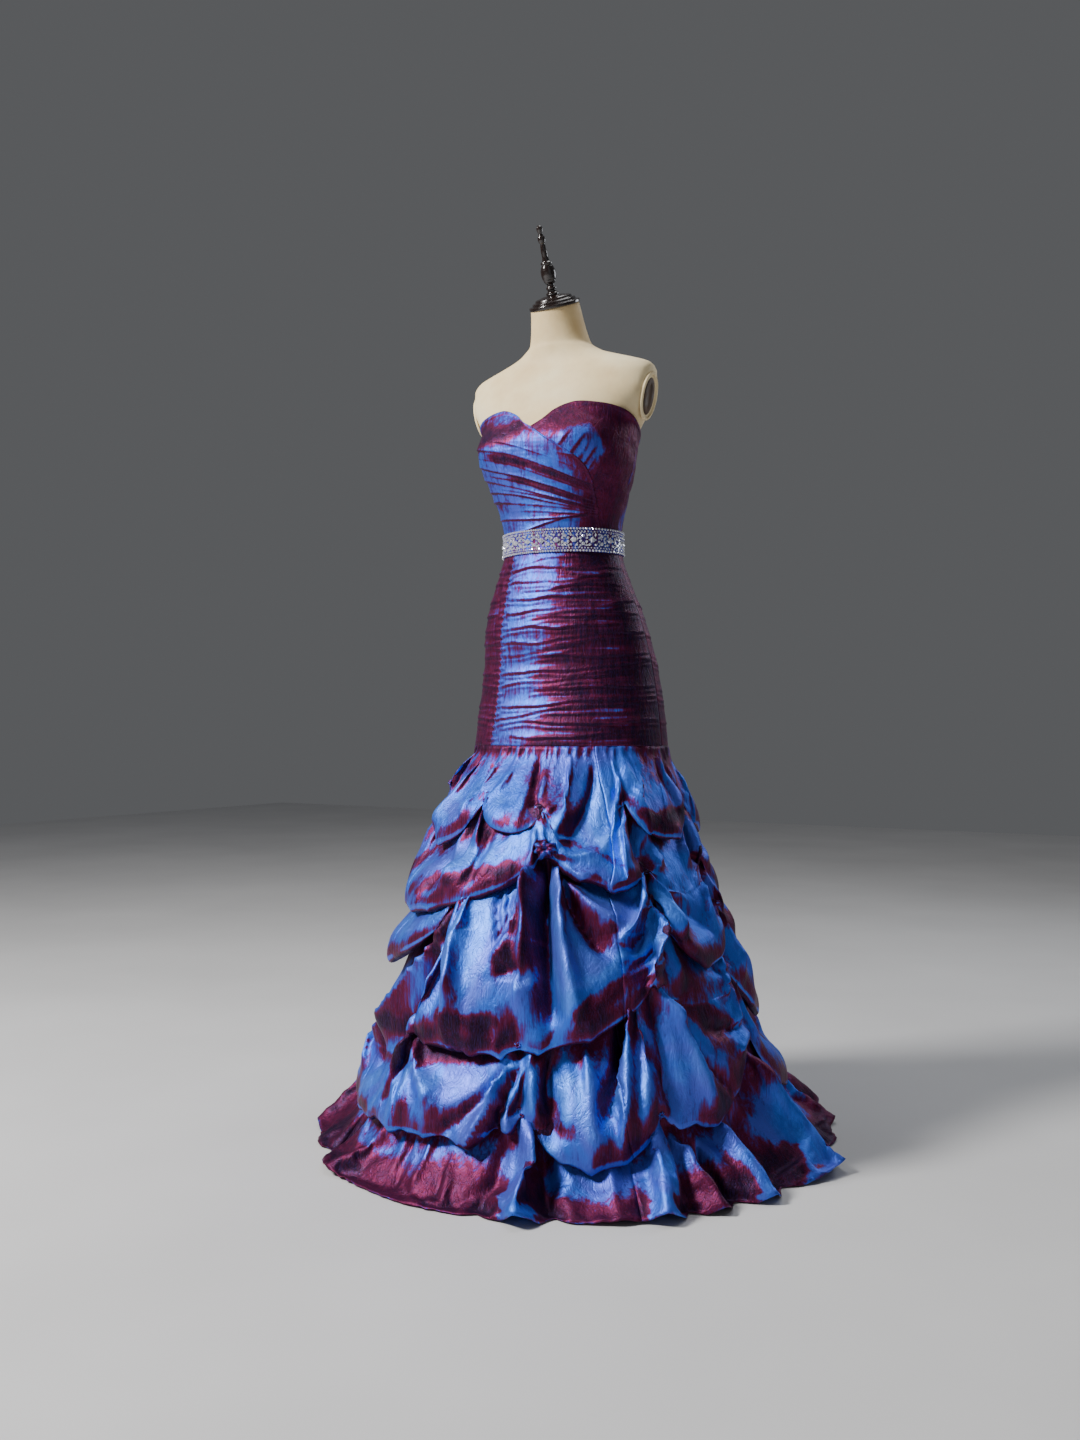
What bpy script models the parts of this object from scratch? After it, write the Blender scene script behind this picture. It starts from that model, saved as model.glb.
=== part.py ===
"""A strapless pick-up prom dress standing on a limbless dress form with a plate stand.

The dress faces -Y, the wearer's left is +X, and the origin is the middle of the stand's underside.
Angles round the body are in degrees from the front, positive towards the wearer's left.
"""
import math

import bmesh
import bpy
import numpy as np
from mathutils import Matrix

# Cloth and seams
WALL = 0.0018            # thickness of every cloth wall
SEAM = 0.0003            # gap between two pieces that meet
COLUMN_STEP = 9.0        # degrees between the columns of the body and the skirt

# Heights of the seams
WAIST_Z = 1.0650
HIP_Z = 0.7050           # where the fitted hip ends and the pick-up skirt begins
HEM_Z = 0.0010

# Belt
BELT_LOW, BELT_HIGH = 1.0435, 1.0865
BELT_CLEAR = 0.0010
BELT_WALL = 0.0026
BELT_ROWS = 4

# Rings of the body outside the cloth: height, half width, front depth, back depth, centre's y
BODY = (
    # height, width, front, back, centre_y
    (0.700, 0.186, 0.146, 0.146, 0.026),
    (0.770, 0.178, 0.135, 0.137, 0.028),
    (0.840, 0.168, 0.126, 0.128, 0.026),
    (0.905, 0.158, 0.118, 0.118, 0.013),
    (0.945, 0.148, 0.108, 0.109, 0.006),
    (0.985, 0.133, 0.100, 0.101, 0.001),
    (1.025, 0.118, 0.092, 0.093, 0.000),
    (1.065, 0.110, 0.087, 0.088, 0.000),
    (1.105, 0.115, 0.090, 0.089, 0.000),
    (1.150, 0.127, 0.096, 0.092, 0.000),
    (1.195, 0.138, 0.102, 0.095, 0.000),
    (1.237, 0.145, 0.105, 0.097, 0.000),
    (1.268, 0.152, 0.100, 0.098, 0.000),
    (1.290, 0.168, 0.094, 0.097, 0.000),
    (1.317, 0.184, 0.086, 0.093, 0.000),
    (1.340, 0.187, 0.077, 0.087, 0.000),
    (1.360, 0.187, 0.068, 0.079, 0.000),
    (1.376, 0.178, 0.060, 0.070, 0.000),
    (1.388, 0.148, 0.055, 0.063, 0.000),
    (1.398, 0.116, 0.053, 0.059, -0.001),
    (1.408, 0.086, 0.052, 0.056, -0.003),
    (1.420, 0.066, 0.051, 0.052, -0.006),
)
# The two cups: a soft swelling on each side of the front
CUP_ANGLE, CUP_SPREAD = 40.0, 24.0
CUP_Z, CUP_RISE, CUP_FALL = 1.232, 0.036, 0.052
CUP_SWELL = 0.034
CUP_BLEND = 13.0         # degrees either side of the middle over which the cloth spans between the cups

# The bodice's upper edge: angle, height
NECKLINE = ((0, 1.263), (10, 1.274), (22, 1.291), (42, 1.303), (60, 1.298), (90, 1.268),
            (120, 1.236), (150, 1.216), (180, 1.210))
# The wrap's overlap edge: share of the bodice's height, angle
WRAP_EDGE = ((0.0, 68.0), (0.16, 65.0), (0.38, 58.0), (0.60, 47.0), (0.80, 25.0), (1.0, 0.0))
FRONT_ROWS, FRONT_LEFT_COLUMNS, BACK_ROWS = 12, 13, 7
OVERLAP_SLOPE = 2.6      # how much wider the gap is round the body than across the slanted overlap
WRAP_PLEATS = 5
WRAP_PLEAT_DEPTH = 0.0022
WRAP_FAN_RISE = 0.34     # where the lowest pleat ends at the overlap, of the bodice's height
WRAP_FAN_CLOSE = 0.70    # how far the fan closes up from the side seam to the overlap
WRAP_PLAIN = 0.12        # share of the height above the waist that has no pleats
PLEAT_FADE = 0.125       # share over which a pleat fades in
HIP_ROWS = 10
HIP_RUCHE_DEPTH = 0.0016
RUCHE_FADE = 12.0        # degrees from a side seam over which the ruches fade in
BELT_MARGIN = 0.006      # height below the belt where the hip is plain
RUCHE_TOP = 0.020        # and where its ruches stop

# The pick-up skirt's swags, tier by tier from the top. Each row is a tack and the swag to its left
# as the wearer has it: tack angle, tack height, how far the swag sags, how deep it rolls under.
# Where the depth is nothing the cloth runs on down to the next tier with no swag
SWAGS = (
    (   # angle, height, sag, roll
        (-160, 0.632, 0.055, 0.040),
        (-105, 0.640, 0.052, 0.038),
        (-57, 0.640, 0.072, 0.036),
        (-16, 0.626, 0.024, 0.026),
        (18, 0.600, 0.000, 0.000),
        (57, 0.612, 0.050, 0.034),
        (100, 0.618, 0.050, 0.038),
        (150, 0.630, 0.052, 0.038),
    ), (
        (-140, 0.535, 0.070, 0.046),
        (-95, 0.525, 0.090, 0.052),
        (22, 0.552, 0.016, 0.034),
        (63, 0.498, 0.000, 0.000),
        (102, 0.508, 0.072, 0.046),
        (165, 0.530, 0.064, 0.046),
    ), (
        (-155, 0.430, 0.062, 0.042),
        (-100, 0.412, 0.085, 0.046),
        (-12, 0.456, 0.000, 0.000),
        (63, 0.456, 0.078, 0.046),
        (102, 0.430, 0.060, 0.040),
        (150, 0.420, 0.000, 0.000),
    ), (
        (-170, 0.268, 0.052, 0.042),
        (-115, 0.262, 0.046, 0.040),
        (-62, 0.236, 0.000, 0.000),
        (-20, 0.242, 0.006, 0.040),
        (17, 0.258, 0.020, 0.046),
        (57, 0.340, 0.000, 0.000),
        (95, 0.322, 0.050, 0.034),
        (140, 0.275, 0.052, 0.042),
    ), (
        (-160, 0.150, 0.052, 0.038),
        (-118, 0.148, 0.052, 0.038),
        (-75, 0.132, 0.034, 0.036),
        (20, 0.148, 0.042, 0.036),
        (54, 0.128, 0.028, 0.034),
        (95, 0.226, 0.070, 0.030),
        (140, 0.160, 0.050, 0.036),
    ),
)
SAG_SHAPE = 0.92         # under 1 gives a swag with a broad bottom
TACK_ROLL = 0.0130       # how deep the cloth rolls under at a tack
TACK_PINCH = 0.012       # how far a tack draws the cloth inwards
RISE_OF_ROLL = 0.85      # how high the cloth runs back up behind a roll, of its depth
RISE_OF_ROUND = 1.6      # and at least this many of the roll's own radii
DEPTH_OF_ROUND = 2.4     # how far in it ends at least, in the roll's own radii
ROLL_ROUND = 0.20        # a roll's radius, of its depth
ROLL_LEAST = 0.0038
OPEN_DEPTH = 0.025       # a roll this much deeper than a tack's hangs fully open
MELT = 8.0               # degrees from a tack over which a roll dies away into plain cloth
FLAT_STEP = 0.0040       # spacing of the plain cloth's rows where there is no roll
FLAT_INSET = 0.008       # how far plain cloth lies inside the rolls' outline
SLOPE_REACH = 0.03       # half the height over which the outline's slope is measured
FLARE, TUCK, HEM_FLARE = 0.30, 0.10, 0.62   # outward slopes of the cloth: free, over a roll, at the hem
CURVE_REACH = 0.40       # length of a curve's handles, of the distance between its ends

# The skirt's outline: height, radius of the rolls
OUTLINE = ((0.000, 0.455), (0.070, 0.402), (0.115, 0.388), (0.200, 0.354), (0.250, 0.343),
           (0.360, 0.315), (0.440, 0.294), (0.500, 0.267), (0.560, 0.246), (0.640, 0.226),
           (0.700, 0.196))
FACE_SHARES = (0.45, 1.0)          # rows down a tier's face, as shares of its curve
LAST_SHARES = (0.35, 0.70, 1.0)    # and down the bottom tier
MITRE_MOST = 1.4
# The hem as it lies: angle, radius
HEM = ((-180, 0.550), (-140, 0.515), (-100, 0.462), (-60, 0.440), (-30, 0.438), (0, 0.440),
       (30, 0.442), (60, 0.456), (90, 0.478), (120, 0.490), (150, 0.530), (180, 0.550))
HEM_REACH = 0.50         # height at which the hem's sweep has died away
SWEEP_SHAPE = 1.5
ROUND_TOP = 0.56         # height up to which the skirt is round; it takes the hip's shape above
CENTRED_BELOW = 0.45     # height below which the skirt's rings centre on the pole
HEM_WAVES = 11
HEM_WAVE = 0.010

# Seams round the body, in degrees
SKIRT_GORES = (("skirt_front", -45.0, 45.0), ("skirt_side_left", 45.0, 117.0),
               ("skirt_back_left", 117.0, 180.0), ("skirt_back_right", -180.0, -117.0),
               ("skirt_side_right", -117.0, -45.0))
HIP_PANELS = (("hip_front", -36.0, 90.0), ("hip_back_left", 90.0, 180.0),
              ("hip_back_right", -180.0, -90.0), ("hip_side_right", -90.0, -36.0))

# Dress form and stand
FORM_LOW = 0.8000
FORM_GAPS = ((0.80, 0.0010), (1.11, 0.0011), (1.17, 0.0030), (1.30, 0.0030))
# Heights of the torso's rings above the waist seam
FORM_HEIGHTS = (1.085, 1.105, 1.130, 1.160, 1.185, 1.205, 1.225, 1.245, 1.265, 1.285, 1.300,
                1.317, 1.335, 1.350, 1.362, 1.372, 1.380, 1.388, 1.398, 1.408, 1.420)
COVERED_TOP, COVER_FADE = 1.345, 0.040   # the torso comes out to its full size above the bodice
NECK_LOW_Y, NECK_LOW_DEPTH, NECK_LOW_WIDTH = -0.006, 0.0505, 0.0660
PLATE_X, PLATE_Z, PLATE_LEAN = 0.172, 1.317, 12.0
PLATE_WIDE, PLATE_TALL, PLATE_THICK, PLATE_BEVEL = 0.056, 0.084, 0.004, 0.001
NECK_TILT = 24.0
NECK_TOP = (0.0, -0.029, 1.494)
NECK_TOP_RADIUS = 0.044
POLE_RADIUS = 0.0125
BASE_RADIUS, BASE_THICK, BASE_CHAMFER = 0.150, 0.0080, 0.002

# Turned cap and finial, along the neck's own axis: distance up, radius
CAP_PROFILE = ((0.0003, 0.046), (0.0060, 0.046), (0.0066, 0.040), (0.0110, 0.039),
               (0.0116, 0.034), (0.0160, 0.033), (0.0200, 0.020))
FINIAL_PROFILE = ((0.0203, 0.0110), (0.0260, 0.0080), (0.0320, 0.0090), (0.0380, 0.0070),
                  (0.0440, 0.0100), (0.0560, 0.0135), (0.0680, 0.0120), (0.0800, 0.0065),
                  (0.0950, 0.0055), (0.1080, 0.0042), (0.1150, 0.0065), (0.1210, 0.0060),
                  (0.1260, 0.0035), (0.1330, 0.0055), (0.1400, 0.0040))

# Zip at the centre back: the slider's plate and lugs, and the pull tab between them
SLIDER_TOP = 1.2030
SLIDER_WIDE, SLIDER_TALL, SLIDER_PLATE = 0.0080, 0.0080, 0.0012
LUG_WIDE, LUG_DEEP = 0.0011, 0.0030
PULL_PLAY = 0.0003
KNUCKLE_RADIUS, KNUCKLE_DROP = 0.0011, 0.0012
PULL_LONG, PULL_THICK, PULL_END_WIDE, PULL_NECK = 0.0220, 0.0010, 0.0062, 0.0020
# The tab's end, narrowing downwards: share of its length, share of its half width
PULL_END = ((0.80, 1.0), (0.96, 0.7), (1.0, 0.3))


def clear_scene():
    for obj in list(bpy.data.objects):
        bpy.data.objects.remove(obj, do_unlink=True)


def material(name, colour, roughness, metallic=0.0):
    mat = bpy.data.materials.new(name)
    mat.use_nodes = True
    shader = mat.node_tree.nodes["Principled BSDF"]
    shader.inputs["Base Color"].default_value = (*colour, 1.0)
    shader.inputs["Roughness"].default_value = roughness
    shader.inputs["Metallic"].default_value = metallic
    return mat


def column(table, index):
    return np.array([row[index] for row in table], dtype=float)


def smooth_table(x, table, index):
    """A table's column read at x, eased between its rows without overshoot."""
    keys, values = column(table, 0), column(table, index)
    x = np.clip(np.asarray(x, dtype=float), keys[0], keys[-1])
    slopes = np.diff(values) / np.diff(keys)
    at_keys = np.zeros_like(values)
    same = slopes[:-1] * slopes[1:] > 0
    both = 2 * slopes[:-1] * slopes[1:] / np.where(same, slopes[:-1] + slopes[1:], 1.0)
    at_keys[1:-1] = np.where(same, both, 0.0)
    at_keys[0], at_keys[-1] = slopes[0], slopes[-1]
    i = np.clip(np.searchsorted(keys, x, side="right") - 1, 0, len(slopes) - 1)
    width = keys[i + 1] - keys[i]
    t = (x - keys[i]) / width
    return ((1 + 2 * t) * (1 - t) ** 2 * values[i] + t * (1 - t) ** 2 * width * at_keys[i]
            + t * t * (3 - 2 * t) * values[i + 1] + t * t * (t - 1) * width * at_keys[i + 1])


def body_radius(angle, z):
    """Radius of the body outside the cloth, about its ring's own centre."""
    turn = np.radians(angle)
    width = smooth_table(z, BODY, 1)
    depth = np.where(np.cos(turn) > 0, smooth_table(z, BODY, 2), smooth_table(z, BODY, 3))
    radius = 1.0 / np.sqrt((np.sin(turn) / width) ** 2 + (np.cos(turn) / depth) ** 2)
    away = (np.hypot(angle, CUP_BLEND) - CUP_ANGLE) / CUP_SPREAD
    up = (z - CUP_Z) / np.where(z > CUP_Z, CUP_RISE, CUP_FALL)
    return radius + CUP_SWELL * np.exp(-0.5 * (away ** 2 + up ** 2))


def place(angle, radius, z, centre_y):
    turn = np.radians(angle)
    return np.stack(np.broadcast_arrays(radius * np.sin(turn), centre_y - radius * np.cos(turn), z), axis=-1)


def on_body(angle, z, out=0.0):
    return place(angle, body_radius(angle, z) + out, z, smooth_table(z, BODY, 4))


def new_object(name, bm, mat):
    bmesh.ops.recalc_face_normals(bm, faces=bm.faces)
    mesh = bpy.data.meshes.new(name)
    bm.to_mesh(mesh)
    bm.free()
    mesh.materials.append(mat)
    mesh.shade_smooth()
    mesh.set_sharp_from_angle(angle=math.radians(40))
    obj = bpy.data.objects.new(name, mesh)
    bpy.context.collection.objects.link(obj)
    return obj


def add_grid(bm, grid, ring):
    verts = [[bm.verts.new(point) for point in row] for row in grid]
    count = len(verts[0])
    for low, high in zip(verts, verts[1:]):
        for i in range(count if ring else count - 1):
            j = (i + 1) % count
            bm.faces.new((low[i], low[j], high[j], high[i]))
    return verts


def wall(name, outer, inner, mat, ring=False):
    """A closed cloth wall between two grids of points, open in its middle if it is a ring."""
    bm = bmesh.new()
    faces = [add_grid(bm, grid, ring) for grid in (outer, inner)]
    count = len(faces[0][0])
    for row in (0, -1):
        for i in range(count if ring else count - 1):
            j = (i + 1) % count
            bm.faces.new((faces[0][row][i], faces[0][row][j], faces[1][row][j], faces[1][row][i]))
    if not ring:
        for end in (0, -1):
            for k in range(len(outer) - 1):
                bm.faces.new((faces[0][k][end], faces[0][k + 1][end],
                              faces[1][k + 1][end], faces[1][k][end]))
    return new_object(name, bm, mat)


def capped(name, rings, mat):
    """A solid through closed rings, with flat ends."""
    bm = bmesh.new()
    verts = add_grid(bm, rings, True)
    bm.faces.new(verts[0])
    bm.faces.new(verts[-1])
    return new_object(name, bm, mat)


def columns_between(first, last):
    return np.linspace(first, last, int(round((last - first) / COLUMN_STEP)) + 1)


def part_at_seams(grid, angles):
    """Draws the two side edges of a grid back from their seams by half a gap each."""
    grid = grid.copy()
    for end, side in ((0, 1.0), (-1, -1.0)):
        turn = math.radians(angles[end])
        grid[:, end] += side * SEAM / 2 * np.array([math.cos(turn), math.sin(turn), 0.0])
    return grid


def neckline(angle):
    return smooth_table(np.abs(angle), NECKLINE, 1)


def wrap_edge(share):
    return smooth_table(share, WRAP_EDGE, 1)


def pleat_relief(across, share):
    """Pleats that fan from the wearer's right side and close up towards the left waist."""
    fan = (share - WRAP_FAN_RISE * across) / (1.0 - WRAP_FAN_CLOSE * across)
    inside = np.clip(np.minimum(fan, 1.0 - fan) / PLEAT_FADE, 0.0, 1.0)
    steps = fan * WRAP_PLEATS
    ramp = steps - np.floor(steps)
    return WRAP_PLEAT_DEPTH * inside * ramp * np.clip((share - WRAP_PLAIN) / PLEAT_FADE, 0.0, 1.0)


def bodice_front(name, wrapped, mat):
    """A front panel between a side seam and the overlap edge."""
    share = np.linspace(0.0, 1.0, FRONT_ROWS + 1)[:, None]
    columns = int(round((90.0 + wrap_edge(0.0)) / COLUMN_STEP)) if wrapped else FRONT_LEFT_COLUMNS
    across = np.linspace(0.0, 1.0, columns + 1)[None, :]
    edge = wrap_edge(share)
    angle = -90.0 + across * (edge + 90.0) if wrapped else edge + across * (90.0 - edge)
    top = neckline(90.0 * (1.0 - across) if wrapped else 90.0 * across)
    low = WAIST_Z + SEAM / 2
    z = low + share * (top - low)
    relief = pleat_relief(across, share) if wrapped else 0.0
    # Both ends draw back from their seams by half a gap, measured across the slope at the overlap
    half_gap = np.degrees(SEAM / 2 / body_radius(angle, z))
    at_overlap = across == (1.0 if wrapped else 0.0)
    shift = half_gap * (1.0 * (across == 0.0) - (across == 1.0)) * np.where(at_overlap, OVERLAP_SLOPE, 1.0)
    grids = [on_body(angle + shift, z, out) for out in (relief, -WALL)]
    return wall(name, grids[0], grids[1], mat)


def bodice_back(name, first, last, mat):
    angles = columns_between(first, last)
    share = np.linspace(0.0, 1.0, BACK_ROWS + 1)[:, None]
    low = WAIST_Z + SEAM / 2
    z = low + share * (neckline(angles)[None, :] - low)
    grids = [part_at_seams(on_body(angles[None, :], z, out), angles) for out in (0.0, -WALL)]
    return wall(name, grids[0], grids[1], mat)


def hip_heights():
    """Heights of the rows that the hip and the form inside it share."""
    return np.concatenate([np.linspace(HIP_Z + SEAM / 2, BELT_LOW - BELT_MARGIN, HIP_ROWS),
                           (BELT_LOW, (BELT_LOW + WAIST_Z) / 2, WAIST_Z - SEAM / 2)])


def hip_panel(name, first, last, mat):
    """A fitted hip panel, drawn up in shallow ruches on the front."""
    angles = columns_between(first, last)
    z = hip_heights()
    ruches = HIP_RUCHE_DEPTH * (np.arange(len(z)) % 2) * (z < BELT_LOW - RUCHE_TOP) * (name == "hip_front")
    away = np.minimum(1.0, np.minimum(angles - first, last - angles) / RUCHE_FADE)
    relief = ruches[:, None] * away[None, :]
    grids = [part_at_seams(on_body(angles[None, :], z[:, None], out), angles) for out in (relief, -WALL)]
    return wall(name, grids[0], grids[1], mat)


def belt(mat):
    """The stone belt's band, all round over the waist seam."""
    angles = np.arange(-180.0, 180.0, COLUMN_STEP)[None, :]
    z = np.linspace(BELT_LOW, BELT_HIGH, BELT_ROWS + 1)[:, None]
    grids = [on_body(angles, z, out) for out in (BELT_CLEAR + BELT_WALL, BELT_CLEAR)]
    return wall("belt", grids[0], grids[1], mat, ring=True)


def ease(x, low, high):
    """Rises smoothly from 0 at low to 1 at high."""
    t = np.clip((x - low) / (high - low), 0.0, 1.0)
    return t * t * (3 - 2 * t)


def swag(angle, tier):
    """A tier's edge height, roll depth, pinch, and whether it rolls (1) or runs on plain (0)."""
    rows = SWAGS[tier]
    starts = column(rows, 0)
    i = (np.searchsorted(starts, angle, side="right") - 1) % len(rows)
    j = (i + 1) % len(rows)
    span = (starts[j] - starts[i]) % 360.0
    past = (angle - starts[i]) % 360.0
    t = past / span
    heights, sags, rolls = (column(rows, k) for k in (1, 2, 3))
    hang = (4.0 * t * (1.0 - t)) ** SAG_SHAPE
    edge = heights[i] + (heights[j] - heights[i]) * t - sags[i] * hang
    rolls_here = rolls[i] > 0
    roll = TACK_ROLL + (rolls[i] - TACK_ROLL) * np.sqrt(hang) * rolls_here
    rolled = np.where(rolls_here, 1.0, 1.0 - ease(np.minimum(past, span - past), 0.0, MELT))
    return edge, roll, TACK_PINCH * (1.0 - hang) * rolled, rolled


def skirt_radius(angle, z):
    """The skirt's outline: the hip's ring at the top, round below, swept out to the hem."""
    round_ring = smooth_table(z, OUTLINE, 1)
    to_hip = np.clip((z - ROUND_TOP) / (HIP_Z - ROUND_TOP), 0.0, 1.0) ** SWEEP_SHAPE
    radius = round_ring + (body_radius(angle, HIP_Z) - smooth_table(HIP_Z, OUTLINE, 1)) * to_hip
    sweep = np.clip(1.0 - z / HEM_REACH, 0.0, 1.0) ** SWEEP_SHAPE
    return radius + (smooth_table(angle, HEM, 1) - smooth_table(0.0, OUTLINE, 1)) * sweep


def skirt_centre(z):
    return smooth_table(HIP_Z, BODY, 4) * np.clip((z - CENTRED_BELOW) / (HIP_Z - CENTRED_BELOW), 0.0, 1.0)


def unit(ways):
    return ways / np.linalg.norm(ways, axis=-1, keepdims=True)


def bend(start, start_way, end, end_way, shares):
    """Points of every column's cubic curve between two of its points, with given directions."""
    reach = CURVE_REACH * np.linalg.norm(end - start, axis=-1, keepdims=True)
    t = np.array(shares)[:, None, None]
    return ((1 - t) ** 3 * start + 3 * t * (1 - t) ** 2 * (start + reach * start_way)
            + 3 * t * t * (1 - t) * (end - reach * end_way) + t ** 3 * end)


def sloping(slope):
    """Downward directions with the given outward slopes, as (radius, height)."""
    return unit(np.stack([slope, -np.ones_like(slope)], axis=-1))


def tier_roll(angles, tier):
    """A tier's roll as (radius, height) rows, with the cloth's directions into it and out of it."""
    edge, roll, pinch, rolled = swag(angles, tier)
    opened = np.clip((roll - TACK_ROLL) / OPEN_DEPTH, 0.0, 1.0)
    radius = skirt_radius(angles, edge) - pinch
    bow = np.maximum(ROLL_LEAST, ROLL_ROUND * roll)
    rise = np.maximum(RISE_OF_ROLL * roll, RISE_OF_ROUND * bow)
    depth = np.maximum(roll, DEPTH_OF_ROUND * bow)
    outline_fall = skirt_radius(angles, edge - SLOPE_REACH) - skirt_radius(angles, edge + SLOPE_REACH)
    plain_way = sloping(outline_fall / (2 * SLOPE_REACH))
    plain = np.stack([radius - FLAT_INSET, edge + bow], axis=-1)
    share = rolled[:, None]
    rows = []
    for number, (x, z) in enumerate(((radius, edge + bow), (radius - bow, edge),
                                     (radius - 2 * bow, edge + bow), (radius - depth, edge + rise))):
        point = np.stack([x, z], axis=-1)
        rows.append(share * point + (1 - share) * (plain + number * FLAT_STEP * plain_way))
    way_in = sloping(FLARE * (1 - opened) - TUCK * opened)
    way_out = sloping(FLARE - 0.4 * FLARE * opened)
    return rows, *(unit(share * way + (1 - share) * plain_way) for way in (way_in, way_out))


def skirt_profiles(angles):
    """The skirt's cut at each angle as (radius, height) rows, from the hip seam to the hem."""
    start = np.stack([body_radius(angles, HIP_Z), np.full_like(angles, HIP_Z - SEAM / 2)], axis=-1)
    way = sloping(np.full_like(angles, FLARE))
    rows = [start[None]]
    for tier in range(len(SWAGS)):
        roll_rows, way_in, way_out = tier_roll(angles, tier)
        rows.append(bend(start, way, roll_rows[0], way_in, FACE_SHARES))
        rows.append(np.array(roll_rows[1:]))
        start, way = roll_rows[-1], way_out
    wave = HEM_WAVE * np.cos(np.radians(angles * HEM_WAVES))
    hem = np.stack([smooth_table(angles, HEM, 1) + wave, np.full_like(angles, HEM_Z + WALL)], axis=-1)
    rows.append(bend(start, way, hem, sloping(np.full_like(angles, HEM_FLARE)), LAST_SHARES))
    return np.concatenate(rows)


def mitred(outer, across):
    """How far in a wall's inner points lie, met at a mitre at each row, no longer than two walls."""
    faces = unit(np.cross(across[1:] + across[:-1], np.diff(outer, axis=0) * -1.0))
    sums = np.concatenate([2 * faces[:1], faces[1:] + faces[:-1], 2 * faces[-1:]])
    length = np.linalg.norm(sums, axis=-1, keepdims=True)
    return WALL * sums / length * np.minimum(2.0 / length, MITRE_MOST)


def skirt_grids():
    """The skirt's outer and inner points all round, by column, with the seam column at both ends."""
    angles = columns_between(-180.0, 180.0)
    profiles = skirt_profiles(angles)
    z = profiles[..., 1]
    outer = place(angles[None, :], profiles[..., 0], z, skirt_centre(z))
    around = np.concatenate([outer[:, -2:-1], outer, outer[:, 1:2]], axis=1)
    inwards = mitred(outer, unit(around[:, 2:] - around[:, :-2]))
    # At a seam the wall's edge stays in the seam's own plane
    turns = np.radians(angles)
    tangents = np.stack([np.cos(turns), np.sin(turns), np.zeros_like(turns)], axis=-1)
    at_seam = np.isin(np.round(angles), [edge for gore in SKIRT_GORES for edge in gore[1:]])
    sideways = np.sum(inwards * tangents, axis=-1, keepdims=True) * tangents
    inner = outer - (inwards - sideways * at_seam[:, None])
    inner[-1, :, 2] = np.maximum(inner[-1, :, 2], HEM_Z)
    inner[0, :, 2] = outer[0, :, 2]
    return angles, outer, inner


def skirt(mat):
    angles, outer, inner = skirt_grids()
    for name, first, last in SKIRT_GORES:
        chosen = np.where((angles > first - 0.1) & (angles < last + 0.1))[0]
        cut = [part_at_seams(grid[:, chosen], angles[chosen]) for grid in (outer, inner)]
        wall(name, cut[0], cut[1], mat)


def ellipse_ring(centre, half_width, front, back, tilt=0.0):
    """One ring of the form's neck, tipped forward by a tilt in degrees."""
    angles = np.radians(np.arange(-180.0, 180.0, COLUMN_STEP))
    depth = np.where(np.cos(angles) > 0, front, back)
    x = half_width * np.sin(angles)
    y = -depth * np.cos(angles)
    lean = math.radians(tilt)
    return np.stack([centre[0] + x, centre[1] + y * math.cos(lean), centre[2] + y * math.sin(lean)], axis=-1)


def form_torso(mat):
    """The form's body, just inside the bodice, with flat arm faces and a tipped neck."""
    angles = np.arange(-180.0, 180.0, COLUMN_STEP)
    rings = []
    in_hip = [z for z in hip_heights() if z > FORM_LOW]
    heights = [FORM_LOW, *in_hip, *FORM_HEIGHTS]
    for z in heights:
        fade = min(1.0, max(0.0, (COVERED_TOP - z) / COVER_FADE))
        gap = float(smooth_table(z, FORM_GAPS, 1))
        ring = on_body(angles, np.full_like(angles, z), -(WALL + gap) * fade)
        limit = PLATE_X + (z - PLATE_Z) * math.tan(math.radians(PLATE_LEAN))
        ring[:, 0] = np.clip(ring[:, 0], -limit, limit)
        rings.append(ring)
    low = FORM_HEIGHTS[-1]
    for share in (0.25, 0.5, 0.75, 1.0):
        centre = (0.0, NECK_LOW_Y + share * (NECK_TOP[1] - NECK_LOW_Y), low + share * (NECK_TOP[2] - low))
        girth = NECK_LOW_DEPTH + (NECK_TOP_RADIUS - NECK_LOW_DEPTH) * math.sqrt(share)
        width = NECK_LOW_WIDTH + (NECK_TOP_RADIUS - NECK_LOW_WIDTH) * math.sqrt(share)
        rings.append(ellipse_ring(centre, width, girth, girth, NECK_TILT * share))
    return capped("form_torso", rings, mat)


def arm_plate(name, side, mat):
    """The flat oval plate on one arm face."""
    lean = math.radians(PLATE_LEAN)
    out = np.array([math.cos(lean), 0.0, -math.sin(lean)])
    up = np.array([math.sin(lean), 0.0, math.cos(lean)])
    turns = np.radians(np.arange(0, 360, 15))
    rings = []
    for lift, shrink in ((SEAM, 1.0), (PLATE_THICK - PLATE_BEVEL, 1.0), (PLATE_THICK, 0.96)):
        ring = (np.array([PLATE_X, 0.0, PLATE_Z]) + out * lift
                + np.outer(np.cos(turns) * PLATE_TALL / 2 * shrink, up)
                + np.outer(np.sin(turns) * PLATE_WIDE / 2 * shrink, (0.0, 1.0, 0.0)))
        ring[:, 0] *= side
        rings.append(ring)
    return capped(name, rings, mat)


def turned(name, profile, mat, facets):
    """A turned piece about its own axis, stood on the neck's tilted axis."""
    turns = np.arange(facets) * 2 * math.pi / facets
    rings = [np.stack([r * np.cos(turns), r * np.sin(turns), np.full(facets, h)], axis=-1)
             for h, r in profile]
    obj = capped(name, rings, mat)
    tilt = Matrix.Rotation(math.radians(NECK_TILT), 4, "X")
    obj.matrix_world = Matrix.Translation(NECK_TOP) @ tilt
    return obj


def upright(name, profile, mat, facets):
    turns = np.arange(facets) * 2 * math.pi / facets
    rings = [np.stack([r * np.cos(turns), r * np.sin(turns), np.full(facets, z)], axis=-1)
             for z, r in profile]
    return capped(name, rings, mat)


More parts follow.
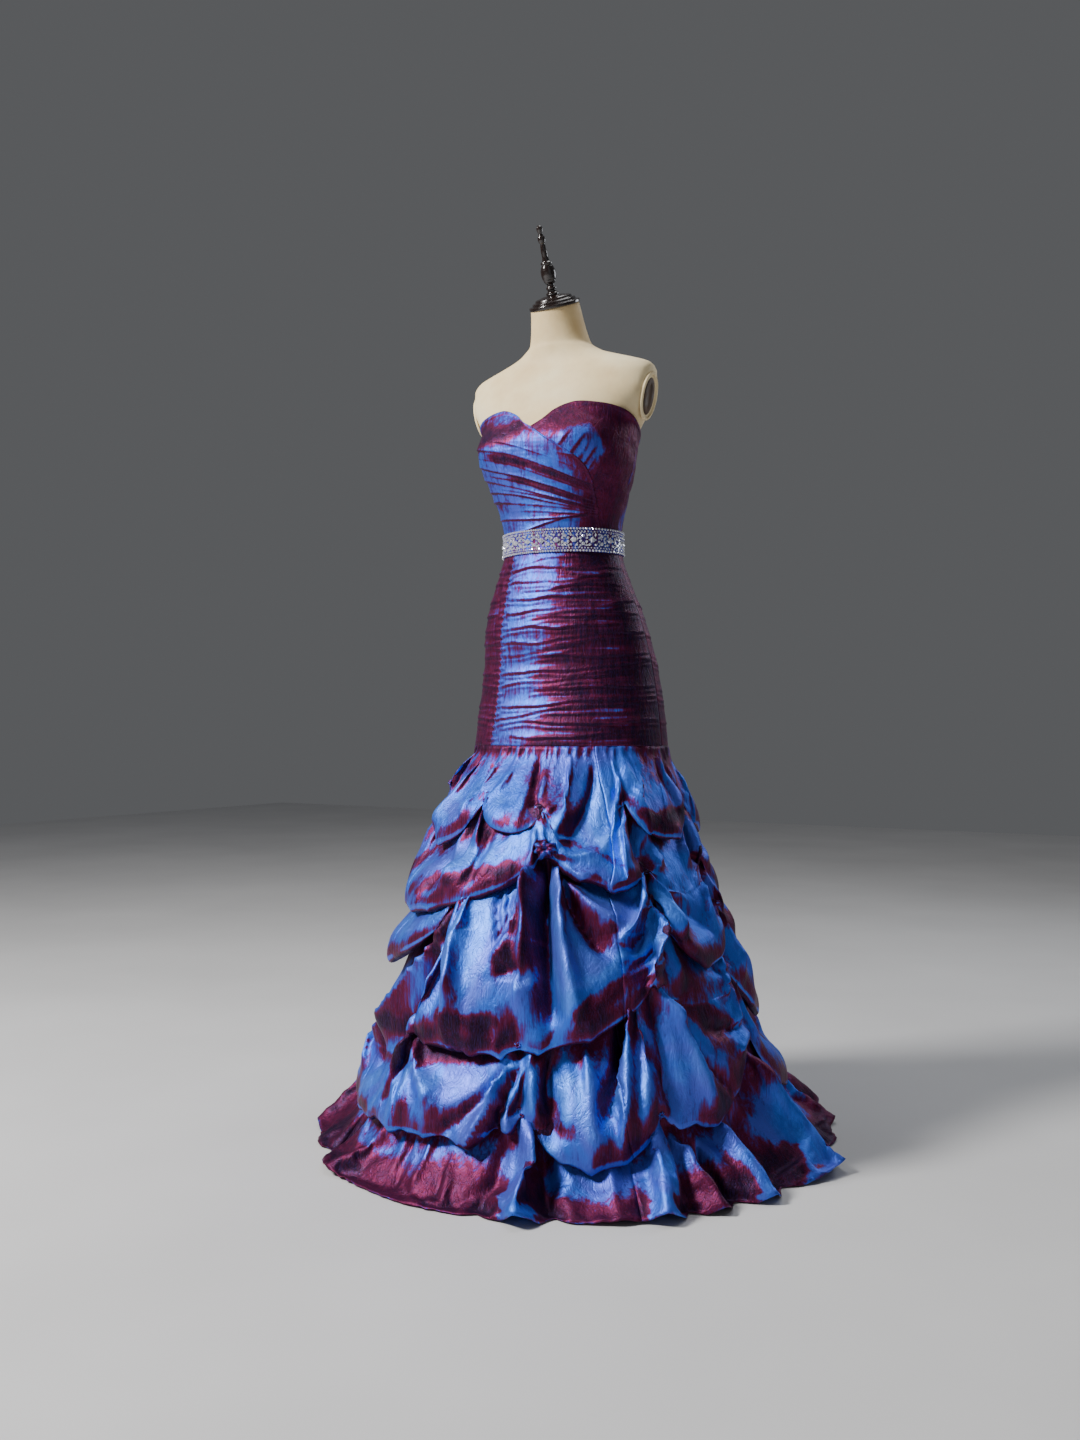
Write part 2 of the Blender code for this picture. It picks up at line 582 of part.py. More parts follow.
def prism(name, outline, axis_span, mat):
    """An outline in the Y-Z plane drawn along X, or in the X-Y plane drawn along Z."""
    axis, low, high = axis_span
    rings = []
    for value in (low, high):
        if axis == "x":
            rings.append([(value, y, z) for y, z in outline])
        else:
            rings.append([(x, y, value) for x, y in outline])
    return capped(name, rings, mat)


def zip_back_y():
    """Where the cloth's outside stands at the centre back behind the slider's top."""
    return float(on_body(np.array(180.0), np.array(SLIDER_TOP))[1])


def zip_slider(mat):
    """The slider: a small plate with two lugs that hold the pull tab between them."""
    face = zip_back_y() + SEAM
    half = SLIDER_WIDE / 2
    back = face + SLIDER_PLATE
    tip = back + LUG_DEEP
    outline = [(-half, face), (half, face), (half, tip), (half - LUG_WIDE, tip),
               (half - LUG_WIDE, back), (-half + LUG_WIDE, back), (-half + LUG_WIDE, tip), (-half, tip)]
    return prism("zip_slider", outline, ("z", SLIDER_TOP - SLIDER_TALL, SLIDER_TOP), mat)


def pull_axis():
    """The pull tab's hinge line: y and z of its knuckle's middle."""
    y = zip_back_y() + SEAM + SLIDER_PLATE + PULL_PLAY + KNUCKLE_RADIUS
    return y, SLIDER_TOP - KNUCKLE_RADIUS - KNUCKLE_DROP


def zip_pull(mat):
    """The pull tab: a knuckle between the lugs and a flat tab that hangs from it."""
    y, z = pull_axis()
    half = SLIDER_WIDE / 2 - LUG_WIDE - PULL_PLAY
    thick = PULL_THICK / 2
    spread = math.asin(thick / KNUCKLE_RADIUS)
    arc = [math.pi * 1.5 + spread + (2 * math.pi - 2 * spread) * i / 10 for i in range(11)]
    knuckle = [(y + KNUCKLE_RADIUS * math.cos(a), z + KNUCKLE_RADIUS * math.sin(a)) for a in arc]
    neck_z = SLIDER_TOP - SLIDER_TALL - PULL_NECK
    outline = [*knuckle, (y - thick, neck_z), (y + thick, neck_z)]
    bm = bmesh.new()
    sides = [[bm.verts.new((x, py, pz)) for py, pz in outline] for x in (-half, half)]
    count = len(outline)
    low_edge = count - 2
    for i in range(count):
        if i != low_edge:
            j = (i + 1) % count
            bm.faces.new((sides[0][i], sides[0][j], sides[1][j], sides[1][i]))
    for side in sides:
        bm.faces.new(side)
    wide = PULL_END_WIDE / 2
    rings = [[sides[0][low_edge], sides[1][low_edge], sides[1][low_edge + 1], sides[0][low_edge + 1]]]
    for down, narrow in PULL_END:
        height = z - PULL_LONG * down
        corners = ((-1, -thick), (1, -thick), (1, thick), (-1, thick))
        rings.append([bm.verts.new((side * wide * narrow, y + deep, height)) for side, deep in corners])
    for upper, lower in zip(rings, rings[1:]):
        for i in range(4):
            j = (i + 1) % 4
            bm.faces.new((upper[i], upper[j], lower[j], lower[i]))
    bm.faces.new(rings[-1])
    obj = new_object("zip_pull", bm, mat)
    origin = Matrix.Translation((0.0, y, z))
    obj.data.transform(origin.inverted())
    obj.matrix_world = origin
    return obj


def build():
    clear_scene()
    taffeta = material("shot_taffeta", (0.10, 0.16, 0.55), 0.36)
    stones = material("belt_band", (0.45, 0.47, 0.62), 0.30, 0.5)
    cream = material("form_cream", (0.86, 0.79, 0.62), 0.55)
    wood = material("dark_wood", (0.03, 0.015, 0.01), 0.25)
    steel = material("stand_steel", (0.75, 0.74, 0.72), 0.35, 0.8)
    zip_metal = material("zip_metal", (0.30, 0.32, 0.55), 0.35, 0.9)

    upright("stand_base", ((0.0, BASE_RADIUS - BASE_CHAMFER), (BASE_CHAMFER, BASE_RADIUS),
                           (BASE_THICK - BASE_CHAMFER, BASE_RADIUS),
                           (BASE_THICK, BASE_RADIUS - BASE_CHAMFER)), steel, 48)
    upright("stand_pole", ((BASE_THICK + SEAM, POLE_RADIUS), (FORM_LOW - SEAM, POLE_RADIUS)), steel, 24)
    form_torso(cream)
    arm_plate("arm_plate_left", 1.0, cream)
    arm_plate("arm_plate_right", -1.0, cream)
    turned("neck_cap", CAP_PROFILE, wood, 32)
    turned("finial", FINIAL_PROFILE, wood, 20)

    bodice_front("bodice_front_right", True, taffeta)
    bodice_front("bodice_front_left", False, taffeta)
    bodice_back("bodice_back_left", 90.0, 180.0, taffeta)
    bodice_back("bodice_back_right", -180.0, -90.0, taffeta)
    belt(stones)
    for name, first, last in HIP_PANELS:
        hip_panel(name, first, last, taffeta)
    skirt(taffeta)
    zip_slider(zip_metal)
    zip_pull(zip_metal)


build()
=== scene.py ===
"""The looks of a strapless pick-up prom dress in shot taffeta, on a dress form with a plate stand.

Angles round the body are in degrees from the front (-Y), positive towards the wearer's left (+X).
Lengths are metres in the frame's own axes.
"""
import math
import random

import bmesh
import bpy
import numpy as np
from mathutils import Matrix, Vector


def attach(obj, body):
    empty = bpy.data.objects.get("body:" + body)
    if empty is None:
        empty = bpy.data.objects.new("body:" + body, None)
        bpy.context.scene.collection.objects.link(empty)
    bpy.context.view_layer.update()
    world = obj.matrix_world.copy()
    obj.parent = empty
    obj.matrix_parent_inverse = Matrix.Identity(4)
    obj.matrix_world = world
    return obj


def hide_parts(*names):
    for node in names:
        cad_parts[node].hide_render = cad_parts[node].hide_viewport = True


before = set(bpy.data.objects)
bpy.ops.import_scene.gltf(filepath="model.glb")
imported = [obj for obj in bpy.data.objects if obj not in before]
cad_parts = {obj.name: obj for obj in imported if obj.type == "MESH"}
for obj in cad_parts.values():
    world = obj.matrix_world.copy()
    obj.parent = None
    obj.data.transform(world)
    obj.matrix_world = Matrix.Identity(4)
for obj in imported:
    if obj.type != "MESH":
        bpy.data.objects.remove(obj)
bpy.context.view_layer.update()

random.seed(7)

# Rings round the body at the cloth's outer face
BODY = (
    # height, width, front, back, centre_y
    (0.700, 0.186, 0.146, 0.146, 0.026),
    (0.770, 0.178, 0.135, 0.137, 0.028),
    (0.840, 0.168, 0.126, 0.128, 0.026),
    (0.905, 0.158, 0.118, 0.118, 0.013),
    (0.945, 0.148, 0.108, 0.109, 0.006),
    (0.985, 0.133, 0.100, 0.101, 0.001),
    (1.025, 0.118, 0.092, 0.093, 0.000),
    (1.065, 0.110, 0.087, 0.088, 0.000),
    (1.105, 0.115, 0.090, 0.089, 0.000),
    (1.150, 0.127, 0.096, 0.092, 0.000),
    (1.195, 0.138, 0.102, 0.095, 0.000),
    (1.237, 0.145, 0.105, 0.097, 0.000),
    (1.268, 0.152, 0.100, 0.098, 0.000),
    (1.290, 0.168, 0.094, 0.097, 0.000),
    (1.317, 0.184, 0.086, 0.093, 0.000),
    (1.340, 0.187, 0.077, 0.087, 0.000),
    (1.360, 0.187, 0.068, 0.079, 0.000),
    (1.376, 0.178, 0.060, 0.070, 0.000),
    (1.388, 0.148, 0.055, 0.063, 0.000),
    (1.398, 0.116, 0.053, 0.059, -0.001),
    (1.408, 0.086, 0.052, 0.056, -0.003),
    (1.420, 0.066, 0.051, 0.052, -0.006),
)
CUP_ANGLE, CUP_SPREAD = 40.0, 24.0
CUP_Z, CUP_RISE, CUP_FALL = 1.232, 0.036, 0.052
CUP_SWELL = 0.034
CUP_BLEND = 13.0         # degrees over which the two cups run together at the front
WAIST_Z, HIP_Z = 1.0650, 0.7050
BELT_LOW, BELT_HIGH = 1.0435, 1.0865
SKIRT_THICK, HIP_THICK, BODICE_THICK = 0.0009, 0.0012, 0.0014
SEAM = 0.0003
MOST_BURGUNDY, MOST_BLUE = -1.1, 1.0

# The bodice's upper edge: angle, height
NECKLINE = ((0, 1.263), (10, 1.274), (22, 1.291), (42, 1.303), (60, 1.298), (90, 1.268),
            (120, 1.236), (150, 1.216), (180, 1.210))
# The wrap's overlap edge: share of the bodice's height, angle
WRAP_EDGE = ((0.0, 68.0), (0.16, 65.0), (0.38, 58.0), (0.60, 47.0), (0.80, 25.0), (1.0, 0.0))

# The skirt's swags, a row for each tack: its angle and height, how far the edge sags on the way to
# the next tack, and the roll's depth. Where the depth is nothing the cloth runs on down with no swag
SWAGS = (
    (   # angle, height, sag, roll
        (-160, 0.632, 0.055, 0.040),
        (-105, 0.640, 0.052, 0.038),
        (-57, 0.640, 0.072, 0.036),
        (-16, 0.626, 0.024, 0.026),
        (18, 0.600, 0.000, 0.000),
        (57, 0.612, 0.050, 0.034),
        (100, 0.618, 0.050, 0.038),
        (150, 0.630, 0.052, 0.038),
    ), (
        (-140, 0.535, 0.070, 0.046),
        (-95, 0.525, 0.090, 0.052),
        (22, 0.552, 0.016, 0.034),
        (63, 0.498, 0.000, 0.000),
        (102, 0.508, 0.072, 0.046),
        (165, 0.530, 0.064, 0.046),
    ), (
        (-155, 0.430, 0.062, 0.042),
        (-100, 0.412, 0.085, 0.046),
        (-12, 0.456, 0.000, 0.000),
        (63, 0.456, 0.078, 0.046),
        (102, 0.430, 0.060, 0.040),
        (150, 0.420, 0.000, 0.000),
    ), (
        (-170, 0.268, 0.052, 0.042),
        (-115, 0.262, 0.046, 0.040),
        (-62, 0.236, 0.000, 0.000),
        (-20, 0.242, 0.006, 0.040),
        (17, 0.258, 0.020, 0.046),
        (57, 0.340, 0.000, 0.000),
        (95, 0.322, 0.050, 0.034),
        (140, 0.275, 0.052, 0.042),
    ), (
        (-160, 0.150, 0.052, 0.038),
        (-118, 0.148, 0.052, 0.038),
        (-75, 0.132, 0.034, 0.036),
        (20, 0.148, 0.042, 0.036),
        (54, 0.128, 0.028, 0.034),
        (95, 0.226, 0.070, 0.030),
        (140, 0.160, 0.050, 0.036),
    ),
)
SAG_SHAPE = 0.92
TACK_ROLL = 0.0080       # the roll's depth at a tack
TACK_PINCH = 0.012       # how far a tack draws the cloth in
RISE_OF_ROLL = 0.85      # how far up the roll's back goes, as a share of its depth
ROLL_ROUND = 0.20        # the roll's radius, as a share of its depth
ROLL_LEAST = 0.0026
MELT = 7.0               # degrees from a tack over which a roll dies away
FLAT_STEP = 0.004
FLAT_INSET = 0.008
OUTLINE = ((0.000, 0.455), (0.070, 0.402), (0.115, 0.388), (0.200, 0.354), (0.250, 0.343),
           (0.360, 0.315), (0.440, 0.294), (0.500, 0.267), (0.560, 0.246), (0.640, 0.226),
           (0.700, 0.196))
HEM = ((-180, 0.550), (-140, 0.515), (-100, 0.462), (-60, 0.440), (-30, 0.438), (0, 0.440),
       (30, 0.442), (60, 0.456), (90, 0.478), (120, 0.490), (150, 0.530), (180, 0.550))
HEM_REACH = 0.50         # height below which the hem's own outline is blended in
HEM_Z = 0.0026
GORES = (("skirt_front", -45.0, 45.0), ("skirt_side_left", 45.0, 117.0),
         ("skirt_back_left", 117.0, 180.0), ("skirt_back_right", -180.0, -117.0),
         ("skirt_side_right", -117.0, -45.0))
HIP_PANELS = (("hip_front", -36.0, 90.0), ("hip_back_left", 90.0, 180.0),
              ("hip_back_right", -180.0, -90.0), ("hip_side_right", -90.0, -36.0))

# Folds of the skirt, one row each: first and last tier that it crosses, where it starts and ends,
# how far the cloth stands out (or in, if negative), half width, and how far it leans over to a side
FOLDS = (
    # first, last, from_angle, from_z, to_angle, to_z, out, wide, lean
    (0, 0, -20, 0.690, -22, 0.600, 0.008, 0.012, 0.0),
    (0, 0, -57, 0.690, -57, 0.600, 0.014, 0.012, 0.3),
    (0, 0, 60, 0.690, 64, 0.590, 0.008, 0.012, 0.0),
    (0, 0, 82, 0.690, 86, 0.590, -0.008, 0.014, 0.0),
    (1, 1, -16, 0.615, -30, 0.480, -0.007, 0.012, 0.0),
    (1, 1, -14, 0.615, -18, 0.500, 0.007, 0.012, 0.0),
    (1, 1, -5, 0.600, -8, 0.500, -0.006, 0.010, 0.0),
    (1, 1, 22, 0.560, 4, 0.590, 0.006, 0.010, 0.0),
    (1, 1, 22, 0.548, 40, 0.560, 0.007, 0.009, 0.0),
    (1, 1, 24, 0.540, 55, 0.505, 0.010, 0.012, 0.4),
    (1, 1, 57, 0.600, 62, 0.500, -0.010, 0.014, 0.0),
    (1, 1, 50, 0.600, 60, 0.505, 0.012, 0.016, -0.3),
    (2, 3, -7, 0.500, -3, 0.262, 0.018, 0.014, 0.6),
    (2, 3, -13, 0.480, -10, 0.300, -0.014, 0.016, 0.0),
    (2, 3, 2, 0.520, 11, 0.410, -0.007, 0.007, 0.0),
    (2, 3, 7, 0.510, 13, 0.425, -0.006, 0.006, 0.0),
    (2, 3, 22, 0.548, 26, 0.280, -0.028, 0.013, 0.0),
    (2, 3, 25, 0.545, 33, 0.300, 0.014, 0.016, -0.3),
    (2, 3, 19, 0.545, 17, 0.300, 0.014, 0.015, 0.3),
    (2, 3, 20, 0.545, 9, 0.385, 0.013, 0.012, 0.5),
    (2, 3, 7, 0.388, 21, 0.366, -0.009, 0.008, 0.5),
    (2, 3, 26, 0.535, 42, 0.395, -0.014, 0.011, 0.3),
    (2, 3, 24, 0.535, 48, 0.440, 0.010, 0.010, 0.0),
    (2, 3, 44, 0.412, 62, 0.476, 0.014, 0.011, 0.4),
    (2, 3, 47, 0.396, 61, 0.452, -0.014, 0.012, 0.0),
    (2, 3, 42, 0.376, 61, 0.394, -0.007, 0.006, 0.4),
    (2, 3, 62, 0.465, 56, 0.340, 0.020, 0.016, 0.5),
    (2, 2, 64, 0.470, 78, 0.385, 0.010, 0.014, 0.0),
    (2, 2, 66, 0.480, 90, 0.430, -0.010, 0.012, 0.0),
    (3, 4, -13, 0.430, -50, 0.215, 0.022, 0.018, 0.5),
    (3, 4, -15, 0.400, -30, 0.215, -0.022, 0.018, 0.0),
    (3, 3, -14, 0.390, -20, 0.250, 0.010, 0.012, 0.0),
    (3, 4, -24, 0.300, -20, 0.195, 0.012, 0.010, 0.0),
    (3, 4, -44, 0.280, -40, 0.170, -0.012, 0.016, 0.0),
    (0, 1, 16, 0.602, 20, 0.560, 0.012, 0.010, 0.0),
    (0, 1, 30, 0.690, 24, 0.560, 0.010, 0.014, 0.4),
    (0, 1, 44, 0.680, 30, 0.560, -0.012, 0.014, 0.0),
    (0, 1, 56, 0.660, 40, 0.545, 0.010, 0.014, 0.3),
    (0, 0, 8, 0.690, 14, 0.610, -0.008, 0.012, 0.0),
    (0, 0, -40, 0.690, -44, 0.580, 0.010, 0.016, 0.3),
    (4, 4, -20, 0.222, -4, 0.165, 0.014, 0.013, 0.4),
    (4, 4, -19, 0.222, -24, 0.130, -0.009, 0.010, 0.0),
    (4, 4, 19, 0.245, 3, 0.108, 0.018, 0.011, 0.5),
    (4, 4, 17, 0.240, -3, 0.125, -0.010, 0.009, 0.0),
    (4, 4, 20, 0.245, 15, 0.110, 0.014, 0.012, 0.0),
    (4, 4, 18, 0.245, 11, 0.110, -0.012, 0.008, 0.0),
    (4, 4, 27, 0.245, 27, 0.130, -0.022, 0.020, 0.0),
    (4, 4, 36, 0.270, 38, 0.120, 0.010, 0.014, 0.0),
    (4, 4, 53, 0.335, 43, 0.130, 0.018, 0.011, 0.5),
    (4, 4, 50, 0.310, 38, 0.150, -0.018, 0.013, 0.0),
    (4, 4, 57, 0.330, 50, 0.130, 0.018, 0.014, 0.3),
    (4, 4, 59, 0.330, 57, 0.150, -0.016, 0.010, 0.0),
    (4, 4, 62, 0.330, 78, 0.175, -0.014, 0.010, 0.4),
    (4, 4, 61, 0.330, 70, 0.160, 0.014, 0.014, 0.0),
    (4, 4, 94, 0.245, 76, 0.270, -0.009, 0.008, 0.0),
    (4, 4, 94, 0.240, 84, 0.225, 0.010, 0.009, 0.0),
    (5, 5, 20, 0.150, 21, 0.002, 0.026, 0.016, 0.3),
    (5, 5, 25, 0.145, 28, 0.002, -0.020, 0.013, 0.0),
    (5, 5, 15, 0.120, 12, 0.002, -0.010, 0.014, 0.0),
    (5, 5, 40, 0.100, 41, 0.002, 0.008, 0.020, 0.0),
    (5, 5, 53, 0.130, 49, 0.002, 0.026, 0.016, 0.3),
    (5, 5, 56, 0.120, 56, 0.002, -0.018, 0.009, 0.0),
    (5, 5, 59, 0.110, 62, 0.002, 0.016, 0.011, 0.0),
    (5, 5, 64, 0.100, 67, 0.002, -0.018, 0.014, 0.0),
    (5, 5, 72, 0.130, 73, 0.002, 0.022, 0.015, 0.4),
    (5, 5, 80, 0.150, 81, 0.002, -0.022, 0.020, 0.0),
    (5, 5, 94, 0.210, 96, 0.002, 0.026, 0.028, -0.4),
    (5, 5, 106, 0.180, 108, 0.002, -0.020, 0.022, 0.0),
    (5, 5, -22, 0.120, -30, 0.002, 0.014, 0.020, 0.0),
    (5, 5, -14, 0.115, -12, 0.030, -0.008, 0.008, 0.0),
    (5, 5, -6, 0.110, -6, 0.040, 0.006, 0.008, 0.0),
    (5, 5, -1, 0.110, 0, 0.030, -0.006, 0.008, 0.0),
    (5, 5, -42, 0.110, -44, 0.002, -0.016, 0.018, 0.0),
)


UP_SHARE, SIDE_SHARE = 0.95, 0.60


def column(table, index):
    return np.array([row[index] for row in table], dtype=float)


def smooth_table(x, table, index):
    """A table's column read at x, eased between its rows without overshoot."""
    keys, values = column(table, 0), column(table, index)
    x = np.clip(np.asarray(x, dtype=float), keys[0], keys[-1])
    slopes = np.diff(values) / np.diff(keys)
    at_keys = np.zeros_like(values)
    same = slopes[:-1] * slopes[1:] > 0
    both = 2 * slopes[:-1] * slopes[1:] / np.where(same, slopes[:-1] + slopes[1:], 1.0)
    at_keys[1:-1] = np.where(same, both, 0.0)
    at_keys[0], at_keys[-1] = slopes[0], slopes[-1]
    i = np.clip(np.searchsorted(keys, x, side="right") - 1, 0, len(slopes) - 1)
    width = keys[i + 1] - keys[i]
    t = (x - keys[i]) / width
    return ((1 + 2 * t) * (1 - t) ** 2 * values[i] + t * (1 - t) ** 2 * width * at_keys[i]
            + t * t * (3 - 2 * t) * values[i + 1] + t * t * (t - 1) * width * at_keys[i + 1])


def ease(x, low, high):
    t = np.clip((x - low) / (high - low), 0.0, 1.0)
    return t * t * (3 - 2 * t)


def body_radius(angle, z):
    turn = np.radians(angle)
    width = smooth_table(z, BODY, 1)
    depth = np.where(np.cos(turn) > 0, smooth_table(z, BODY, 2), smooth_table(z, BODY, 3))
    radius = 1.0 / np.sqrt((np.sin(turn) / width) ** 2 + (np.cos(turn) / depth) ** 2)
    away = (np.hypot(angle, CUP_BLEND) - CUP_ANGLE) / CUP_SPREAD
    up = (z - CUP_Z) / np.where(z > CUP_Z, CUP_RISE, CUP_FALL)
    return radius + CUP_SWELL * np.exp(-0.5 * (away ** 2 + up ** 2))


def place(angle, radius, z, centre_y):
    turn = np.radians(angle)
    x, y = radius * np.sin(turn), centre_y - radius * np.cos(turn)
    return np.stack(np.broadcast_arrays(x, y, z), axis=-1)


def on_body(angle, z, out=0.0):
    return place(angle, body_radius(angle, z) + out, z, smooth_table(z, BODY, 4))


def grid_normals(grid, ring):
    """Unit normals of a grid, all on one side of it."""
    if ring:
        across = np.roll(grid, -1, axis=1) - np.roll(grid, 1, axis=1)
    else:
        across = np.gradient(grid, axis=1)
    along = np.gradient(grid, axis=0)
    normal = np.cross(across, along)
    length = np.linalg.norm(normal, axis=-1, keepdims=True)
    return normal / np.maximum(length, 1e-12)


def outward(grid, ring):
    """Unit normals that point away from the body."""
    normal = grid_normals(grid, ring)
    return normal if (normal[..., :2] * grid[..., :2]).sum() > 0 else -normal


def painted_sheen_lean(grid, normal):
    """Painted sheen: how far each place faces up and to the wearer's right, towards the key light, where
    the blue threads are painted to show most.
    """
    flat = grid[..., :2] / np.linalg.norm(grid[..., :2], axis=-1, keepdims=True)
    leftwards = normal[..., 1] * flat[..., 0] - normal[..., 0] * flat[..., 1]
    return UP_SHARE * normal[..., 2] - SIDE_SHARE * leftwards


def uneven(points, size, seed):
    """Smooth unevenness between about -1 and 1 at points, from seeded waves in all directions."""
    chance = np.random.default_rng(seed)
    total = np.zeros(points.shape[:-1])
    weight = 1.0
    for octave in range(OCTAVES):
        for _ in range(WAVES):
            way = chance.normal(size=3)
            way /= np.linalg.norm(way)
            wave = 2 * math.pi * 2 ** octave / size * chance.uniform(0.6, 1.4)
            total += weight * np.sin(points @ way * wave + chance.uniform(0, 2 * math.pi))
        weight *= 0.5
    return total / WAVES


OCTAVES, WAVES = 3, 7


def in_scene(name, data):
    obj = bpy.data.objects.new(name, data)
    bpy.context.scene.collection.objects.link(obj)
    return obj


def mesh_object(name, verts, faces, mat, smooth=True):
    mesh = bpy.data.meshes.new(name)
    mesh.from_pydata([tuple(v) for v in verts], [], faces)
    mesh.materials.append(mat)
    if smooth:
        mesh.shade_smooth()
    return in_scene(name, mesh)


def ring_faces(rings, count, base=0):
    """Faces between closed rings of points that follow one another, with a flat face at both ends."""
    faces = []
    for k in range(rings - 1):
        low, high = base + k * count, base + (k + 1) * count
        faces += [(low + c, low + (c + 1) % count, high + (c + 1) % count, high + c) for c in range(count)]
    faces.append(tuple(base + c for c in range(count - 1, -1, -1)))
    faces.append(tuple(base + (rings - 1) * count + c for c in range(count)))
    return faces


def face_out(mesh):
    bm = bmesh.new()
    bm.from_mesh(mesh)
    bmesh.ops.recalc_face_normals(bm, faces=bm.faces)
    bm.to_mesh(mesh)
    bm.free()


def give_shot(mesh, values):
    layer = mesh.attributes.new("shot", "FLOAT", "POINT")
    layer.data.foreach_set("value", values.astype(np.float32))


def hand_over(piece, node=None):
    """Puts a piece on the dress's body, in place of a node where one is given."""
    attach(piece, "dress")
    if node:
        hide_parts(node)


def shell_object(name, grid, mat, thick, ring=False, shot=None):
    """A thin closed shell of cloth whose outer face is a grid of points."""
    rows, cols = grid.shape[:2]
    inner = grid - thick * outward(grid, ring)
    verts = np.concatenate([grid.reshape(-1, 3), inner.reshape(-1, 3)])
    index = np.arange(rows * cols).reshape(rows, cols)
    right = np.roll(index, -1, axis=1) if ring else index[:, 1:]
    left = index if ring else index[:, :-1]
    quads = np.stack([left[:-1], right[:-1], right[1:], left[1:]], axis=-1).reshape(-1, 4)
    inside = quads[:, ::-1] + rows * cols
    rims = [(left[0], right[0], True), (left[-1], right[-1], False)]
    if not ring:
        rims += [(index[:-1, 0], index[1:, 0], False), (index[:-1, -1], index[1:, -1], True)]
    edges = []
    for a, b, flip in rims:
        rim = np.stack([a, b, b + rows * cols, a + rows * cols], axis=-1)
        edges.append(rim[:, ::-1] if flip else rim)
    faces = np.concatenate([quads, inside] + edges)
    mesh = bpy.data.meshes.new(name)
    mesh.from_pydata(verts.tolist(), [], faces.tolist())
    mesh.materials.append(mat)
    mesh.shade_smooth()
    face_out(mesh)
    if shot is not None:
        flat = np.broadcast_to(shot, (rows, cols)).reshape(-1)
        give_shot(mesh, np.concatenate([flat, flat]))
    return in_scene(name, mesh)


# Materials

class Nodes:
    """A short way to wire a material's nodes."""

    def __init__(self, name):
        self.mat = bpy.data.materials.new(name)
        self.mat.use_nodes = True
        self.tree = self.mat.node_tree
        self.shader = self.tree.nodes["Principled BSDF"]
        self.point = self.add("TexCoord").outputs["Object"]

    def add(self, kind, **values):
        node = self.tree.nodes.new("ShaderNode" + kind)
        for key, value in values.items():
            setattr(node, key, value)
        return node

    def link(self, output, socket):
        self.tree.links.new(output, socket)

    def put(self, socket, value):
        if hasattr(value, "links"):
            self.link(value, socket)
        else:
            socket.default_value = value

    def fill(self, node, **values):
        """Sets or links a node's inputs by name, with _ for a space."""
        for key, value in values.items():
            self.put(node.inputs[key.replace("_", " ")], value)
        return node

    def math(self, operation, a, b=0.0, c=0.0):
        node = self.add("Math", operation=operation)
        for socket, value in zip(node.inputs, (a, b, c)):
            self.put(socket, value)
        return node.outputs[0]

    def noise(self, scale, detail=3.0, rough=0.55, warp=0.0):
        """Noise in the object's own coordinates. The scale is one number, or one for each axis."""
        vector = self.point
        if isinstance(scale, tuple):
            vector = self.fill(self.add("Mapping"), Scale=scale, Vector=vector).outputs["Vector"]
            scale = 1.0
        node = self.fill(self.add("TexNoise"), Vector=vector, Scale=scale, Detail=detail, Roughness=rough,
                         Distortion=warp)
        return node.outputs["Fac"]

    def ramp(self, value, stops):
        node = self.add("ValToRGB")
        self.link(value, node.inputs["Fac"])
        ramp = node.color_ramp
        while len(ramp.elements) < len(stops):
            ramp.elements.new(0.5)
        for element, (at, colour) in zip(ramp.elements, stops):
            element.position = at
            element.color = (*colour, 1.0)
        return node.outputs["Color"]

    def range(self, value, low, high, to_low=0.0, to_high=1.0):
        node = self.add("MapRange", interpolation_type="SMOOTHSTEP")
        self.fill(node, From_Min=low, From_Max=high, To_Min=to_low, To_Max=to_high, Value=value)
        return node.outputs["Result"]

    def mix(self, factor, a, b):
        node = self.add("Mix", data_type="RGBA")
        self.put(node.inputs[0], factor)
        for socket, value in ((node.inputs[6], a), (node.inputs[7], b)):
            self.put(socket, (*value, 1.0) if isinstance(value, tuple) and len(value) == 3 else value)
        return node.outputs[2]

    def bump(self, *layers):
        """Bump layers, each a height, a strength and a distance in metres."""
        normal = None
        for height, strength, distance in layers:
            node = self.fill(self.add("Bump"), Strength=strength, Distance=distance, Height=height)
            if normal is not None:
                self.link(normal, node.inputs["Normal"])
            normal = node.outputs["Normal"]
        self.link(normal, self.shader.inputs["Normal"])

    def set(self, **values):
        self.fill(self.shader, **values)


# The cloth's colours from blue to burgundy; PALE and DEEP, at the ends, show mostly where painted
# highlight and painted shade push the shot furthest
AZURE = (0.032, 0.155, 0.760)
PERIWINKLE = (0.110, 0.115, 0.640)
PALE = (0.075, 0.265, 0.960)
VIOLET = (0.075, 0.040, 0.300)
CRIMSON = (0.150, 0.008, 0.036)
BURGUNDY = (0.080, 0.005, 0.024)
DEEP = (0.020, 0.004, 0.014)


